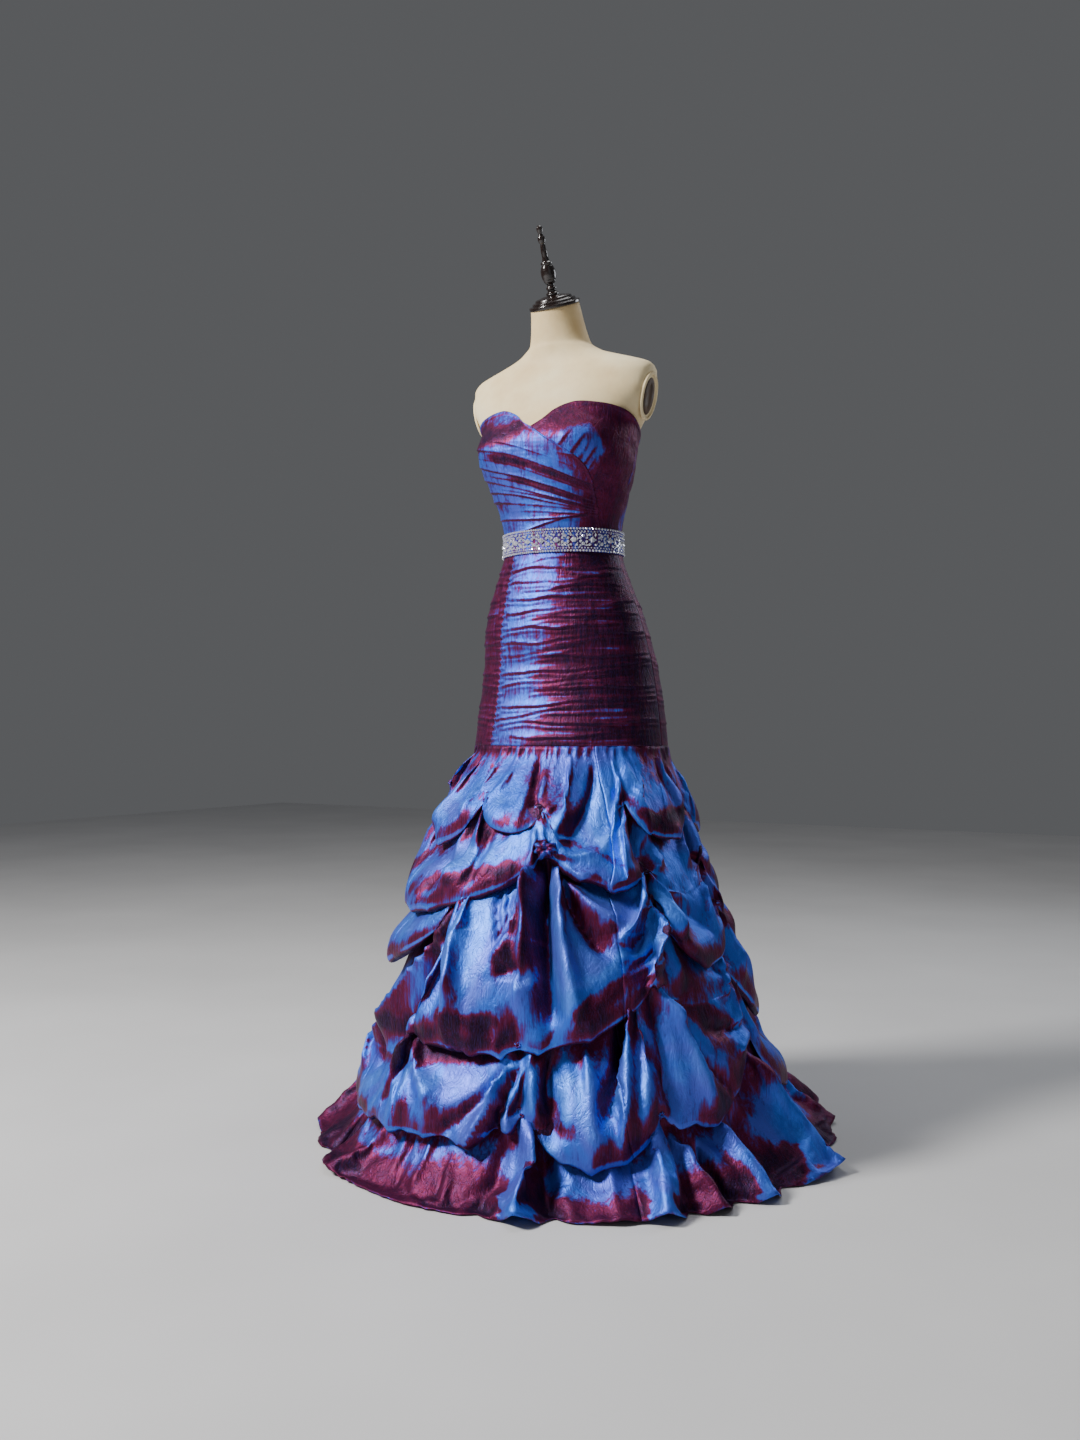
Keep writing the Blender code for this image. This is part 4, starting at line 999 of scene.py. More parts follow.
def shot_of_skirt(tiers, shares, rolls, angles, grid):
    """How far each place on the skirt leans to blue (above 0) or burgundy (below 0), with painted sheen,
    highlight and shade.
    """
    share = np.broadcast_to(shares[:, None], grid.shape[:2])
    tier = np.broadcast_to(tiers[:, None], grid.shape[:2])
    angle = np.broadcast_to(angles[None, :], grid.shape[:2])
    normals = outward(grid, True)
    # Painted sheen: bluer where the cloth faces up and towards the key light
    shot = np.clip(2.0 * (painted_sheen_lean(grid, normals) - 0.10), -0.75, 0.75) + 0.16
    # More burgundy towards the wearer's left, painted shade on the side away from the key light, and below
    # the hip seam
    patchy = uneven(grid * (1, 1, 0.5), 0.14, 17)
    away = ease(angle + 20.0 * patchy, 52.0, 84.0) * (1.0 - ease(angle, 118.0, 150.0))
    shot = shot - (0.60 + 0.35 * patchy) * away
    shot = shot - (0.42 + 0.50 * patchy) * ease(grid[..., 2], 0.585, 0.675)
    # Painted light along each swag's lower edge: a broken burgundy band of painted shade where the cloth
    # turns under, a blue rim of painted highlight below it, and painted shade on the dark roll
    wander = 0.13 * uneven(grid * (1, 1, 0.3), 0.17, 9) + 0.05 * uneven(grid * (1, 1, 0.12), 0.018, 10)
    low = ease(share + wander, 0.62, 0.90) * (1.0 - ease(share, 0.93, 0.99)) * (share <= 1.0)
    shot = shot - (0.12 + 0.88 * ease(uneven(grid * (1, 1, 0.5), 0.16, 16), -0.35, 0.55)) * low * rolls
    broken = ease(uneven(grid * (1, 1, 0.6), 0.13, 15), -0.55, 0.35)
    rim = ease(share, 0.955, 1.0) * (1.0 - ease(share, 1.0, 1.10)) * rolls * broken
    shot = shot + rim * (1.0 - shot)
    under = ease(share, 1.02, 1.14) * rolls
    shot = shot + under * (-1.0 - shot)
    # Painted shade: darker cloth in the shade of the swag above and in the hollows between folds, and a
    # painted highlight that makes the folds' ridges bluer
    shade = (1.0 - ease(share + 0.9 * wander, 0.20, 0.52)) * (tier > 0) * plain_above(rolls, tiers)
    shot = shot - 1.30 * shade * (share <= 1.0)
    plain = grid.copy()
    for _ in range(24):
        plain = 0.5 * plain + 0.25 * (np.roll(plain, 1, axis=1) + np.roll(plain, -1, axis=1))
    hollow = np.sum((grid - plain) * normals, axis=-1)
    shot = shot + np.clip(70.0 * hollow, -0.6, 0.35) * (1 - rim) * (1 - under)
    last = tier == len(SWAGS)
    shot = np.where(last, np.minimum(shot, 0.50), shot)
    jitter = 0.010 * uneven(grid * (1, 1, 0.25), 0.03, 12)
    for row in PAINTED_LIGHT_STROKES:
        shot += stroke(angle + jitter * 150.0, grid[..., 2] + jitter, tier, row) * (1 - rim) * (1 - under)
    # Burgundy near the hem of the bottom tier
    near_hem = ease(share + wander * 1.3 - 0.16 * ease(angle, 10.0, 26.0), 0.32, 0.66)
    shot = np.where(last, np.clip(shot, -0.3, 0.7) - 1.1 * near_hem * (1.0 - ease(shot, 0.60, 0.85)), shot)
    edge = ease(share, 0.984, 0.992) * last
    shot = shot + edge * (-0.10 - shot) * broken
    return np.clip(shot, MOST_BURGUNDY, 1.1)


KNOT_PLEATS, KNOT_RINGS, KNOT_COUNT = 7, 7, 42
FRONT_KNOT = (1, 22)     # tier and angle of the large rosette at the front
FRONT_KNOT_SIZE, FRONT_KNOT_OUT = 0.0175, 0.006


def build_knots(mat, grid, tiers, shares, angles):
    """The small rosettes where the skirt is caught up and stitched."""
    verts, faces, crest_highlight_shot = [], [], []
    chance = random.Random(3)
    for tier, rows in enumerate(SWAGS):
        at_roll = np.where((tiers == tier) & (np.abs(shares - 1.0) < 0.2))[0]
        row = at_roll[np.argmin(np.abs(shares[at_roll] - 0.97))]
        for number, (angle, _, _, roll) in enumerate(rows):
            if roll == 0 or rows[number - 1][3] == 0:
                continue
            col = int(np.argmin(np.abs(angles - angle)))
            middle = grid[row, col]
            out = unit(middle * (1.0, 1.0, 0.0) + (0.0, 0.0, 0.06))
            aside = unit(np.array([-out[1], out[0], 0.0]))
            up = np.cross(out, aside)
            size = chance.uniform(0.0050, 0.0075)
            if (tier, angle) == FRONT_KNOT:
                size = FRONT_KNOT_SIZE
                middle = middle + out * FRONT_KNOT_OUT
            spin = chance.uniform(0.0, 2 * math.pi)
            faces += ring_faces(KNOT_RINGS, KNOT_COUNT, len(verts))
            for k in range(KNOT_RINGS):
                t = k / (KNOT_RINGS - 1)
                dome = 0.50 * math.sin(math.pi * min(1.0, t * 1.15)) ** 0.8
                for c in range(KNOT_COUNT):
                    turn = 2 * math.pi * c / KNOT_COUNT
                    frill = math.cos(KNOT_PLEATS * turn + spin + 2.0 * t) + 0.4 * math.cos(3 * turn + spin)
                    reach = size * (0.10 + 0.90 * t) * (1.0 + 0.16 * frill * t)
                    high = size * (dome * (1 + 0.35 * frill * t) - 0.30 * t)
                    verts.append(middle + out * (0.0005 + high) + aside * reach * math.cos(turn) * 1.15
                                 + up * reach * math.sin(turn) * 0.85)
                    # Painted highlight: bluer on the frills' raised crests, burgundy between them
                    crest_highlight_shot.append(-0.22 + 0.75 * max(0.0, frill) * t)
    piece = mesh_object("tack_knots", verts, faces, mat)
    face_out(piece.data)
    give_shot(piece.data, crest_highlight_shot + 0.5 * uneven(np.array(verts), 0.016, 14))
    hand_over(piece)


def stitch_row(verts, faces, line, normals, pitch, long, wide, closed=False):
    """Lays one stitch every pitch along a line of points, standing on the cloth."""
    if closed:
        line, normals = np.concatenate([line, line[:1]]), np.concatenate([normals, normals[:1]])
    steps = np.linalg.norm(np.diff(line, axis=0), axis=-1)
    past = np.concatenate([[0.0], np.cumsum(steps)])

    def point_at(there, values):
        return np.array([np.interp(there, past, values[:, k]) for k in range(3)])

    for number in range(int(past[-1] / pitch)):
        at = (number + 0.5) * pitch
        ends = [point_at(at + s * long / 2, line) for s in (-1, 1)]
        normal = unit(point_at(at, normals))
        way = unit(ends[1] - ends[0])
        side = np.cross(normal, way)
        base = len(verts)
        for end, lift in ((0, 0.0), (0.25, 1.0), (0.75, 1.0), (1, 0.0)):
            middle = ends[0] + (ends[1] - ends[0]) * end + normal * (0.00012 + wide * 0.35 * lift)
            grow = 0.35 + 0.65 * lift
            for a in (0.0, math.pi / 2, math.pi, math.pi / 2 * 3):
                verts.append(middle + grow * wide / 2 * (side * math.cos(a) + normal * math.sin(a)))
        faces += ring_faces(4, 4, base)


def stitch_object(name, verts, faces, thread):
    hand_over(mesh_object(name, verts, faces, thread, smooth=False))


# Pitch, length and width of one stitch
HEM_STITCH = (0.0046, 0.0030, 0.0006)
ZIP_STITCH = (0.0034, 0.0024, 0.0005)


def build_hem_stitches(grid, tiers, shares, thread):
    row = int(np.argmax((tiers == len(SWAGS)) & (shares > HEM_FOLD + 0.006)))
    verts, faces = [], []
    stitch_row(verts, faces, grid[row], outward(grid, True)[row], *HEM_STITCH, closed=True)
    stitch_object("hem_stitches", verts, faces, thread)


# The bodice

PLEATS = (
    # at_side, at_edge, out, wide, bow, start
    (1.000, 0.560, 0.0012, 0.012, -0.020, 0.45),
    (0.930, 0.470, 0.0034, 0.018, -0.035, 0.00),
    (0.865, 0.400, 0.0018, 0.009, -0.048, 0.25),
    (0.800, 0.330, 0.0036, 0.015, -0.060, 0.00),
    (0.730, 0.300, 0.0022, 0.009, -0.058, 0.32),
    (0.660, 0.268, 0.0034, 0.013, -0.055, 0.00),
    (0.595, 0.258, 0.0018, 0.008, -0.050, 0.30),
    (0.530, 0.250, 0.0030, 0.012, -0.045, 0.05),
    (0.420, 0.235, 0.0028, 0.012, -0.040, 0.00),
    (0.345, 0.222, 0.0016, 0.008, -0.056, 0.36),
    (0.270, 0.215, 0.0032, 0.012, -0.075, 0.00),
    (0.060, 0.250, 0.0034, 0.010, -0.070, 0.10),
)
BODICE_HEIGHT = 0.22


def lap(above, soft, sharp):
    """A fold's height by the distance above its line: long and soft above it, short and sharp below."""
    return np.where(above > 0, np.exp(-(above / soft)), np.exp(-(above / sharp) ** 2))


def fan_line(across, at_side, at_edge, bow):
    return at_side + (at_edge - at_side) * across ** 0.9 + bow * 4 * across * (1 - across)


def pleat_relief(across, share):
    """Pleats in a fan, each lapped down over the next, closing up towards the left waist."""
    total = np.zeros(np.broadcast(across, share).shape)
    for number, (at_side, at_edge, out, wide, bow, start) in enumerate(PLEATS):
        line = fan_line(across, at_side, at_edge, bow) + 0.004 * np.sin(9.0 * across + 2.4 * number)
        above = (share - line) * BODICE_HEIGHT
        fold = lap(above, wide * (1.0 - 0.62 * across), 0.0010)
        swell = 0.75 + 0.25 * np.sin(5.0 * across + 1.7 * number)
        shown = ease(across, start - 0.04, start + 0.12) * (1.0 - 0.3 * ease(across, 0.85, 1.0))
        total += out * swell * fold * shown
    return total


GATHERS = (
    # at_edge, rise, long, out, wide
    (0.85, 0.03, 0.14, 0.0008, 0.004),
    (0.79, 0.05, 0.24, 0.0017, 0.006),
    (0.72, 0.06, 0.30, 0.0019, 0.006),
    (0.67, 0.06, 0.26, 0.0010, 0.004),
    (0.63, 0.07, 0.34, 0.0018, 0.006),
    (0.58, 0.08, 0.30, 0.0012, 0.005),
)


def gather_relief(across, share):
    """Gathers that spread from the overlap edge into the left cup."""
    total = np.zeros(np.broadcast(across, share).shape)
    for at_edge, rise, long, out, wide in GATHERS:
        above = (share - (at_edge + rise * across / long)) * BODICE_HEIGHT
        total += out * lap(above, wide, 0.0012) * (1.0 - ease(across, 0.5 * long, long))
    return total


def front_grid(wrapped, rows, cols):
    share = np.linspace(0.0, 1.0, rows)[:, None]
    across = np.linspace(0.0, 1.0, cols)[None, :]
    edge = smooth_table(share, WRAP_EDGE, 1)
    angle = -90.0 + across * (edge + 90.0) if wrapped else edge + across * (90.0 - edge)
    top = smooth_table(90.0 * (1.0 - across) if wrapped else 90.0 * across, NECKLINE, 1)
    low = WAIST_Z + SEAM / 2
    z = low + share * (top - low)
    if wrapped:
        out = pleat_relief(across, share) + 0.0022 * ease(across, 0.982, 0.996)
    else:
        out = gather_relief(across, share)
    out = out * ease(share, 0.02, 0.10) * (1.0 - 0.8 * ease(share, 0.955, 0.985))
    # The turned edge at the top, a little raised
    out = out + 0.0009 * ease(share, 0.966, 0.972)
    grid = on_body(angle, z, out)
    ripple = 0.0007 * uneven(grid * (1.0, 1.0, 1.6), 0.05, 21)
    return grid + ripple[..., None] * outward(grid, False), on_body(angle, z)


def painted_relief_light(grid, smooth):
    """Painted light from the relief: painted highlight where the cloth's relief on the plain form faces
    up, and painted shade below each lap.
    """
    out = np.linalg.norm(grid[..., :2] - smooth[..., :2], axis=-1)
    rise = np.gradient(out, axis=0) / np.maximum(np.gradient(smooth[..., 2], axis=0), 1e-5)
    return np.clip(-1.2 * rise, -0.95, 0.5)


# The burgundy patch on the right cup: share of the way across, its middle height and its half height
PATCH_ACROSS = (0.28, 0.555, 0.80)
PATCH_MIDDLE = (0.840, 0.790, 0.930)
PATCH_HALF = (0.105, 0.080, 0.045)
# Dark bands of painted shade between the pleats along the fan: at_side, at_edge, bow, start, half width,
# how dark
DARK_BANDS = (
    (0.885, 0.430, -0.040, 0.34, 0.044, 1.3),
    (0.745, 0.310, -0.058, 0.42, 0.024, 1.1),
    (0.635, 0.262, -0.052, 0.58, 0.018, 0.9),
    (0.300, 0.218, -0.066, 0.60, 0.018, 0.9),
)


def shot_of_bodice(name, grid, smooth):
    share = np.linspace(0, 1, grid.shape[0])[:, None]
    across = np.linspace(0, 1, grid.shape[1])[None, :]
    shot = painted_relief_light(grid, smooth) + 0.10 + 0.35 * uneven(grid * (0.8, 0.8, 1.6), 0.06, 46)
    wander = 0.030 * uneven(grid, 0.07, 4)
    if name == "bodice_front_right":
        # A burgundy patch that narrows from the side seam over the cup, and painted shade at the fan's
        # end, away from the key light
        middle = np.interp(across, PATCH_ACROSS, PATCH_MIDDLE)
        half = np.interp(across, PATCH_ACROSS, PATCH_HALF)
        patch = 1.0 - ease(np.abs(share + 1.2 * wander - middle), 0.25 * half, 1.60 * half)
        patch *= 1.0 - ease(across, 0.76, 0.96)
        end = ease(across + 1.8 * wander - 0.15 * (share - 0.3), 0.79, 1.00)
        shot = shot - 1.1 * patch
        for at_side, at_edge, bow, start, wide, deep in DARK_BANDS:
            line = fan_line(across, at_side, at_edge, bow)
            band = 1.0 - ease(np.abs(share - line + 0.4 * wander), 0.2 * wide, 1.2 * wide)
            shot = shot - deep * band * ease(across, start, start + 0.14)
        shot = shot + end * (-0.75 - shot) * (share < 0.70)
    elif name == "bodice_front_left":
        # Burgundy along the neckline, and painted shade round the lit blue triangle, towards the wearer's
        # left and below it
        upper = ease(share + 0.16 * across - 1.2 * wander, 0.84, 0.93)
        outer = ease(across + 0.5 * (0.8 - share) + 1.5 * wander, 0.33, 0.46)
        below = 1.0 - ease(share - 0.20 * across, 0.50, 0.60)
        off = np.maximum(np.maximum(upper, outer), below)
        shot = shot * (1 - off) + off * (-0.62 + 0.5 * shot + 8.0 * wander)
    else:
        shot = 0.30 * shot + 0.28 + 0.75 * uneven(grid * (1, 1, 0.45), 0.17, 44)
        if name == "bodice_back_left":
            # Painted shade on the wearer's left side, away from the key light, fading towards the back
            shot = shot - 0.95 * (1.0 - ease(across + 3.0 * wander, 0.10, 0.62))
    return np.clip(shot, MOST_BURGUNDY, MOST_BLUE)


def build_bodice(mat, thread):
    for name, (grid, smooth), flat in (
            ("bodice_front_right", front_grid(True, 160, 140), (0.40, 0.34)),
            ("bodice_front_left", front_grid(False, 130, 80), (0.22, 0.26)),
            ("bodice_back_left", back_grid(90.0, 180.0), (0.17, 0.21)),
            ("bodice_back_right", back_grid(-180.0, -90.0), (0.17, 0.21))):
        shot = shot_of_bodice(name, grid, smooth)
        piece = shell_object(name + "_cloth", grid, mat, BODICE_THICK, shot=shot)
        hand_over(piece, name)
    build_zip_lines(thread)


ZIP_HALF, ZIP_LOW = 0.0075, 0.850    # from the centre back to a stitch line, and the closing's foot


def from_centre_back(angles, z):
    return np.radians(180.0 - np.abs(angles)) * body_radius(angles, z)


def back_grid(first, last):
    angles = np.linspace(first, last, 70)[None, :]
    share = np.linspace(0.0, 1.0, 80)[:, None]
    low = WAIST_Z + SEAM / 2
    z = low + share * (smooth_table(np.abs(angles), NECKLINE, 1) - low)
    grid = on_body(angles, z)
    # The closing's two edges stand at full height and the cloth beside them lies a little lower
    from_zip = from_centre_back(angles, z)
    out = -0.0006 * ease(from_zip, ZIP_HALF, ZIP_HALF + 0.001) + 0.0009 * ease(share, 0.962, 0.970)
    drag = 0.0016 * uneven(grid * (1, 1, 2.6), 0.055, 31) * ease(from_zip, ZIP_HALF, 0.03)
    out = out + drag * ease(share, 0.02, 0.15) * (1 - ease(share, 0.90, 0.96))
    return grid + np.broadcast_to(out, grid.shape[:2])[..., None] * outward(grid, False), grid


def build_zip_lines(thread):
    """The stitch lines either side of the zip at the centre back."""
    verts, faces = [], []
    for side in (-1.0, 1.0):
        for low, high in ((ZIP_LOW, BELT_LOW - 0.003), (BELT_HIGH + 0.003, 1.206)):
            z = np.linspace(low, high, 60)
            angle = side * (180.0 - np.degrees(ZIP_HALF / body_radius(180.0, z)))
            line = on_body(angle, z, 0.0001)
            turn = np.radians(angle)
            normals = np.stack([np.sin(turn), -np.cos(turn), 0 * turn], axis=-1)
            stitch_row(verts, faces, line, normals, *ZIP_STITCH)
    stitch_object("zip_stitches", verts, faces, thread)


# The ruched hip

RUCHES = (
    # z_right, z_left, from_angle, to_angle, out, wide
    (1.030, 1.032, -36, 60, 0.0022, 0.0060),
    (1.012, 1.020, -36, 95, 0.0030, 0.0070),
    (0.992, 1.004, -36, 80, 0.0034, 0.0075),
    (0.975, 0.984, -20, 95, 0.0026, 0.0060),
    (0.958, 0.970, -36, 50, 0.0036, 0.0080),
    (0.940, 0.956, -36, 95, 0.0040, 0.0085),
    (0.921, 0.934, -10, 95, 0.0030, 0.0070),
    (0.904, 0.922, -36, 70, 0.0040, 0.0085),
    (0.884, 0.905, -36, 95, 0.0034, 0.0080),
    (0.866, 0.880, -36, 40, 0.0032, 0.0080),
    (0.850, 0.872, 0, 95, 0.0036, 0.0085),
    (0.832, 0.850, -36, 95, 0.0040, 0.0090),
    (0.812, 0.826, -36, 60, 0.0034, 0.0080),
    (0.795, 0.815, -5, 95, 0.0036, 0.0085),
    (0.775, 0.790, -36, 95, 0.0042, 0.0090),
    (0.755, 0.775, -36, 45, 0.0034, 0.0080),
    (0.738, 0.752, -36, 95, 0.0036, 0.0085),
    (0.720, 0.730, -20, 80, 0.0030, 0.0070),
)


def ruche_relief(angle, z):
    """Lapped ruches that run nearly level, each uneven in height and depth, and finer ones between."""
    total = np.zeros(np.broadcast(angle, z).shape)
    turn = np.radians(angle)
    for number, (z_right, z_left, start, end, out, wide) in enumerate(RUCHES):
        wander = (0.0040 * np.sin(1.9 * turn + 2.1 * number) + 0.0022 * np.sin(4.3 * turn + 1.3 * number)
                  + 0.0010 * np.sin(9.1 * turn + 2.9 * number))
        line = z_right + (z_left - z_right) * (angle + 36.0) / 126.0 + wander
        for k, (drop, deep, slim) in enumerate(((0.0, 1.0, 1.0), (0.0085, 0.42, 0.55))):
            fold = lap(z - line + drop, wide * slim, 0.0013)
            swell = 0.70 + 0.30 * np.sin(3.1 * turn + 1.9 * number + 2.6 * k)
            reach = ease(angle, start - 2, start + 10) * (1 - ease(angle, end - 14, end + 4))
            total += deep * out * swell * fold * reach
    return total


HIP_ROWS, HIP_COLUMNS = 152, 0.75     # rows in all, and columns for each degree
PUCKER = 0.0016


def build_hip(mat):
    for name, first, last in HIP_PANELS:
        cols = int((last - first) * HIP_COLUMNS)
        angles = np.linspace(first, last, cols)[None, :]
        z = np.linspace(HIP_Z + SEAM / 2, WAIST_Z - SEAM / 2, HIP_ROWS)[:, None]
        inside = np.clip(np.minimum(angles - first, last - angles) / 3.0, 0.0, 1.0)
        # The seam that the ruching is drawn up on puckers the cloth on both sides of it
        at_seam = 0.0 * angles
        if name == "hip_front":
            out = ruche_relief(angles, z)
            at_seam = np.exp(-((angles - first) / 4.5) ** 2)
        elif name == "hip_side_right":
            out = 0.8 * ruche_relief(-36.0 + (-36.0 - angles) * 0.5, z)
            at_seam = np.exp(-((angles - last) / 6.0) ** 2)
        else:
            out = 0.55 * ruche_relief(np.where(angles < 0, -180 - angles, 180 - angles), z + 0.006)
        waves = np.sin(z * 2 * math.pi / 0.0115) + 0.5 * np.sin(z * 2 * math.pi / 0.0073 + 1.0)
        pucker = PUCKER * waves * at_seam
        out = 1.1 * out * (0.25 + 0.75 * inside) + pucker
        if name in ("hip_back_left", "hip_back_right"):
            from_zip = from_centre_back(angles, z)
            beside = 0.0006 * ease(from_zip, ZIP_HALF, ZIP_HALF + 0.001) * (z > ZIP_LOW)
            out = out * ease(from_zip, 0.004, 0.02) - beside
        out = out * (1.0 - ease(z, BELT_LOW - 0.010, BELT_LOW)) * ease(z, HIP_Z, HIP_Z + 0.012)
        grid = on_body(angles, z, out)
        shot = 0.75 * painted_relief_light(grid, on_body(angles, z))
        wander = uneven(grid * (0.7, 0.7, 4.5), 0.10, 41) + 0.5 * uneven(grid * (0.7, 0.7, 9.0), 0.05, 42)
        glint_spots = ease(uneven(grid * (0.40, 0.40, 9.0), 0.10, 43), 0.05, 0.60)
        if name == "hip_front":
            # Blue on the wearer's right, which faces the key light, and beyond a border painted shade with
            # painted highlights only on the ruches that catch the light and in scattered glints
            border = np.maximum(12.0, 30.0 - 150.0 * (1.03 - z)) - 5.0 * ease(0.93 - z, 0.0, 0.10)
            beyond = ease(angles + 17.0 * wander, border - 9.0, border + 15.0)
            shown = 1.0 - ease(angles, 58.0, 78.0)
            catches = ease(uneven(grid * (1, 1, 2.0), 0.06, 45), -0.35, 0.30)
            glint = ease(out, 0.0024, 0.0040) * shown * catches
            dark = 1.15 - np.maximum(1.10 * glint, 0.95 * glint_spots * shown)
            shot = shot + 0.10 + 0.22 * wander - dark * beyond
        elif name == "hip_side_right":
            shot = shot - 0.55 + 0.25 * wander
        else:
            shot = shot - 0.25 + 0.4 * wander
            if name == "hip_back_left":
                # Painted shade on the wearer's left side, away from the key light, fading towards the back
                shot = shot - 0.45 * (1.0 - ease(angles, 100.0, 140.0))
        shot = np.clip(shot, MOST_BURGUNDY, MOST_BLUE)
        piece = shell_object(name + "_cloth", grid, mat, HIP_THICK, shot=shot)
        hand_over(piece, name)


# The belt

STONE_SIDES = 8
STONE_RINGS = ((0.50, 0.0), (0.50, 0.30), (0.30, 1.0))    # radius and height, as shares
GIRTH_STEPS = 118
BAND_OUT = 0.0026        # the band's outer face
# Stones in the belt's middle by their place in a set of six columns: share of height, size, depth
FIGURE = {0: ((0.50, 0.0098, 0.0042),), 3: ((0.66, 0.0066, 0.0032), (0.34, 0.0066, 0.0032))}
SIDE_FIGURE = ((0.30, 0.0048), (0.50, 0.0036), (0.70, 0.0048))
FULL_FIGURE = ((0.27, 0.0040), (0.42, 0.0050), (0.58, 0.0050), (0.73, 0.0040))


def stone(size, depth):
    """One cut stone: a girdle, a crown and a small table, standing on its back."""
    verts = []
    for i, (radius, high) in enumerate(STONE_RINGS):
        for k in range(STONE_SIDES):
            turn = 2 * math.pi * (k + 0.5 * (i == 2)) / STONE_SIDES
            verts.append((size * radius * math.cos(turn), size * radius * math.sin(turn), depth * high))
    return verts, ring_faces(len(STONE_RINGS), STONE_SIDES)


def build_belt(band_mat, stone_mats):
    angles = np.linspace(-180.0, 180.0, 241)[:-1][None, :]
    z = np.linspace(BELT_LOW, BELT_HIGH, 12)[:, None]
    edge = np.minimum(z - BELT_LOW, BELT_HIGH - z)
    out = 0.0010 + (BAND_OUT - 0.0010) * np.clip(edge / 0.002, 0.0, 1.0) ** 0.5
    band = shell_object("belt_band", on_body(angles, z, out), band_mat, 0.0010, ring=True)
    hand_over(band, "belt")
    sets = [([], []) for _ in stone_mats]
    chance = random.Random(5)

    def put(angle, up, size, depth, kind):
        verts, faces = stone(size, depth)
        z_here = BELT_LOW + up * (BELT_HIGH - BELT_LOW)
        middle = on_body(np.array(angle), np.array(z_here), BAND_OUT)
        beside = on_body(np.array(angle + 0.5), np.array(z_here), BAND_OUT)
        above = on_body(np.array(angle), np.array(z_here + 0.001), BAND_OUT)
        x = Vector(beside - middle).normalized()
        y = Vector(above - middle).normalized()
        normal = x.cross(y).normalized()
        lean = Vector((chance.uniform(-0.14, 0.14), chance.uniform(-0.14, 0.14), 1.0)).normalized()
        turned = Matrix((x, y, normal)).transposed() @ lean.to_track_quat("Z", "Y").to_matrix()
        turned = turned @ Matrix.Rotation(chance.uniform(0, math.pi), 3, "Z")
        base = len(sets[kind][0])
        sets[kind][0].extend(tuple(Vector(middle) + turned @ Vector(v)) for v in verts)
        sets[kind][1].extend(tuple(base + i for i in face) for face in faces)

    for k in range(GIRTH_STEPS):
        angle = -180.0 + 360.0 * (k + 0.5) / GIRTH_STEPS
        for up in (0.055, 0.945):
            put(angle, up, 0.0042, 0.0021, 0)
        for up in (0.165, 0.835):
            put(angle + 1.5, up, 0.0034, 0.0016, k % 2)
        phase = k % 6
        if phase in FIGURE:
            for up, size, depth in FIGURE[phase]:
                put(angle, up, size, depth, int(up > 0.6))
        elif phase in (1, 5):
            for up, size in SIDE_FIGURE:
                put(angle, up, size, size * 0.5, (k + 1) % 2)
        else:
            for up, size in FULL_FIGURE:
                put(angle + 0.4, up, size, size * 0.5, 0)
        for _ in range(4):
            put(angle + chance.uniform(-1.5, 1.5), chance.uniform(0.20, 0.80), 0.0026, 0.0022, 0)
    for number, (verts, faces) in enumerate(sets):
        piece = mesh_object(f"belt_stones_{number}", verts, faces, stone_mats[number], smooth=False)
        hand_over(piece)


# The dress form

# Height, and how far the form lies inside the cloth's inner face
FORM_GAPS = ((0.80, 0.0012), (1.11, 0.0012), (1.17, 0.0016), (1.30, 0.0016))
CAD_THICK = 0.0018       # the solids' cloth
PLATE_X, PLATE_Z, PLATE_LEAN = 0.172, 1.317, 12.0
PLATE_WIDE, PLATE_TALL = 0.056, 0.084
NECK_TILT = 24.0
NECK_FOOT = (-0.006, 1.420)          # its centre's y and z
NECK_FOOT_DEEP, NECK_FOOT_WIDE = 0.0505, 0.0660
NECK_TOP = (0.0, -0.029, 1.494)
NECK_TOP_RADIUS = 0.044
PLATE_ROUND = 0.004      # how softly the torso turns on to the flat under an arm plate


def build_form(cover, plate_mat):
    angles = np.linspace(-180.0, 180.0, 129)[:-1]
    heights = np.concatenate([np.linspace(0.802, 1.30, 90), np.linspace(1.304, 1.420, 60)])
    rings = []
    for z in heights:
        fade = 1.0 - float(ease(z, 1.300, 1.330))
        inside = (CAD_THICK + float(smooth_table(z, FORM_GAPS, 1))) * fade
        ring = on_body(angles, np.full_like(angles, z), -inside)
        limit = PLATE_X + (z - PLATE_Z) * math.tan(math.radians(PLATE_LEAN))
        wide = np.abs(ring[:, 0])
        over = np.clip(wide - limit + PLATE_ROUND, 0, 2 * PLATE_ROUND)
        flat = np.where(wide - limit > PLATE_ROUND, limit, wide - over ** 2 / (4 * PLATE_ROUND))
        ring[:, 0] = np.sign(ring[:, 0]) * flat
        rings.append(ring)
    turn = np.radians(angles)
    for share in np.linspace(0.0, 1.0, 30)[1:]:
        centre_y, centre_z = (foot + share * (top - foot) for foot, top in zip(NECK_FOOT, NECK_TOP[1:]))
        deep = NECK_FOOT_DEEP + (NECK_TOP_RADIUS - NECK_FOOT_DEEP) * share ** 0.5
        wide = NECK_FOOT_WIDE + (NECK_TOP_RADIUS - NECK_FOOT_WIDE) * share ** 0.45
        lean = math.radians(NECK_TILT * share)
        y = -deep * np.cos(turn)
        rings.append(np.stack([wide * np.sin(turn), centre_y + y * math.cos(lean),
                               centre_z + y * math.sin(lean)], axis=-1))
    rings = np.array(rings)
    for _ in range(3):
        rings[1:-1] = 0.5 * rings[1:-1] + 0.25 * (rings[:-2] + rings[2:])
    torso = mesh_object("form_body", rings.reshape(-1, 3), ring_faces(*rings.shape[:2]), cover)
    hand_over(torso, "form_torso")
    for side, name in ((1.0, "left"), (-1.0, "right")):
        build_arm_plate(side, name, cover, plate_mat)


PAD = 0.0024             # the padded rim's half thickness
# Height off the torso, and how far inside the plate's outline
DISC_PROFILE = ((0.0004, -0.0056), (0.0007, -0.0058), (0.0007, -0.0092), (0.0018, -0.0100),
                (0.0024, -0.0112), (0.0024, -0.020), (0.0016, -0.022))


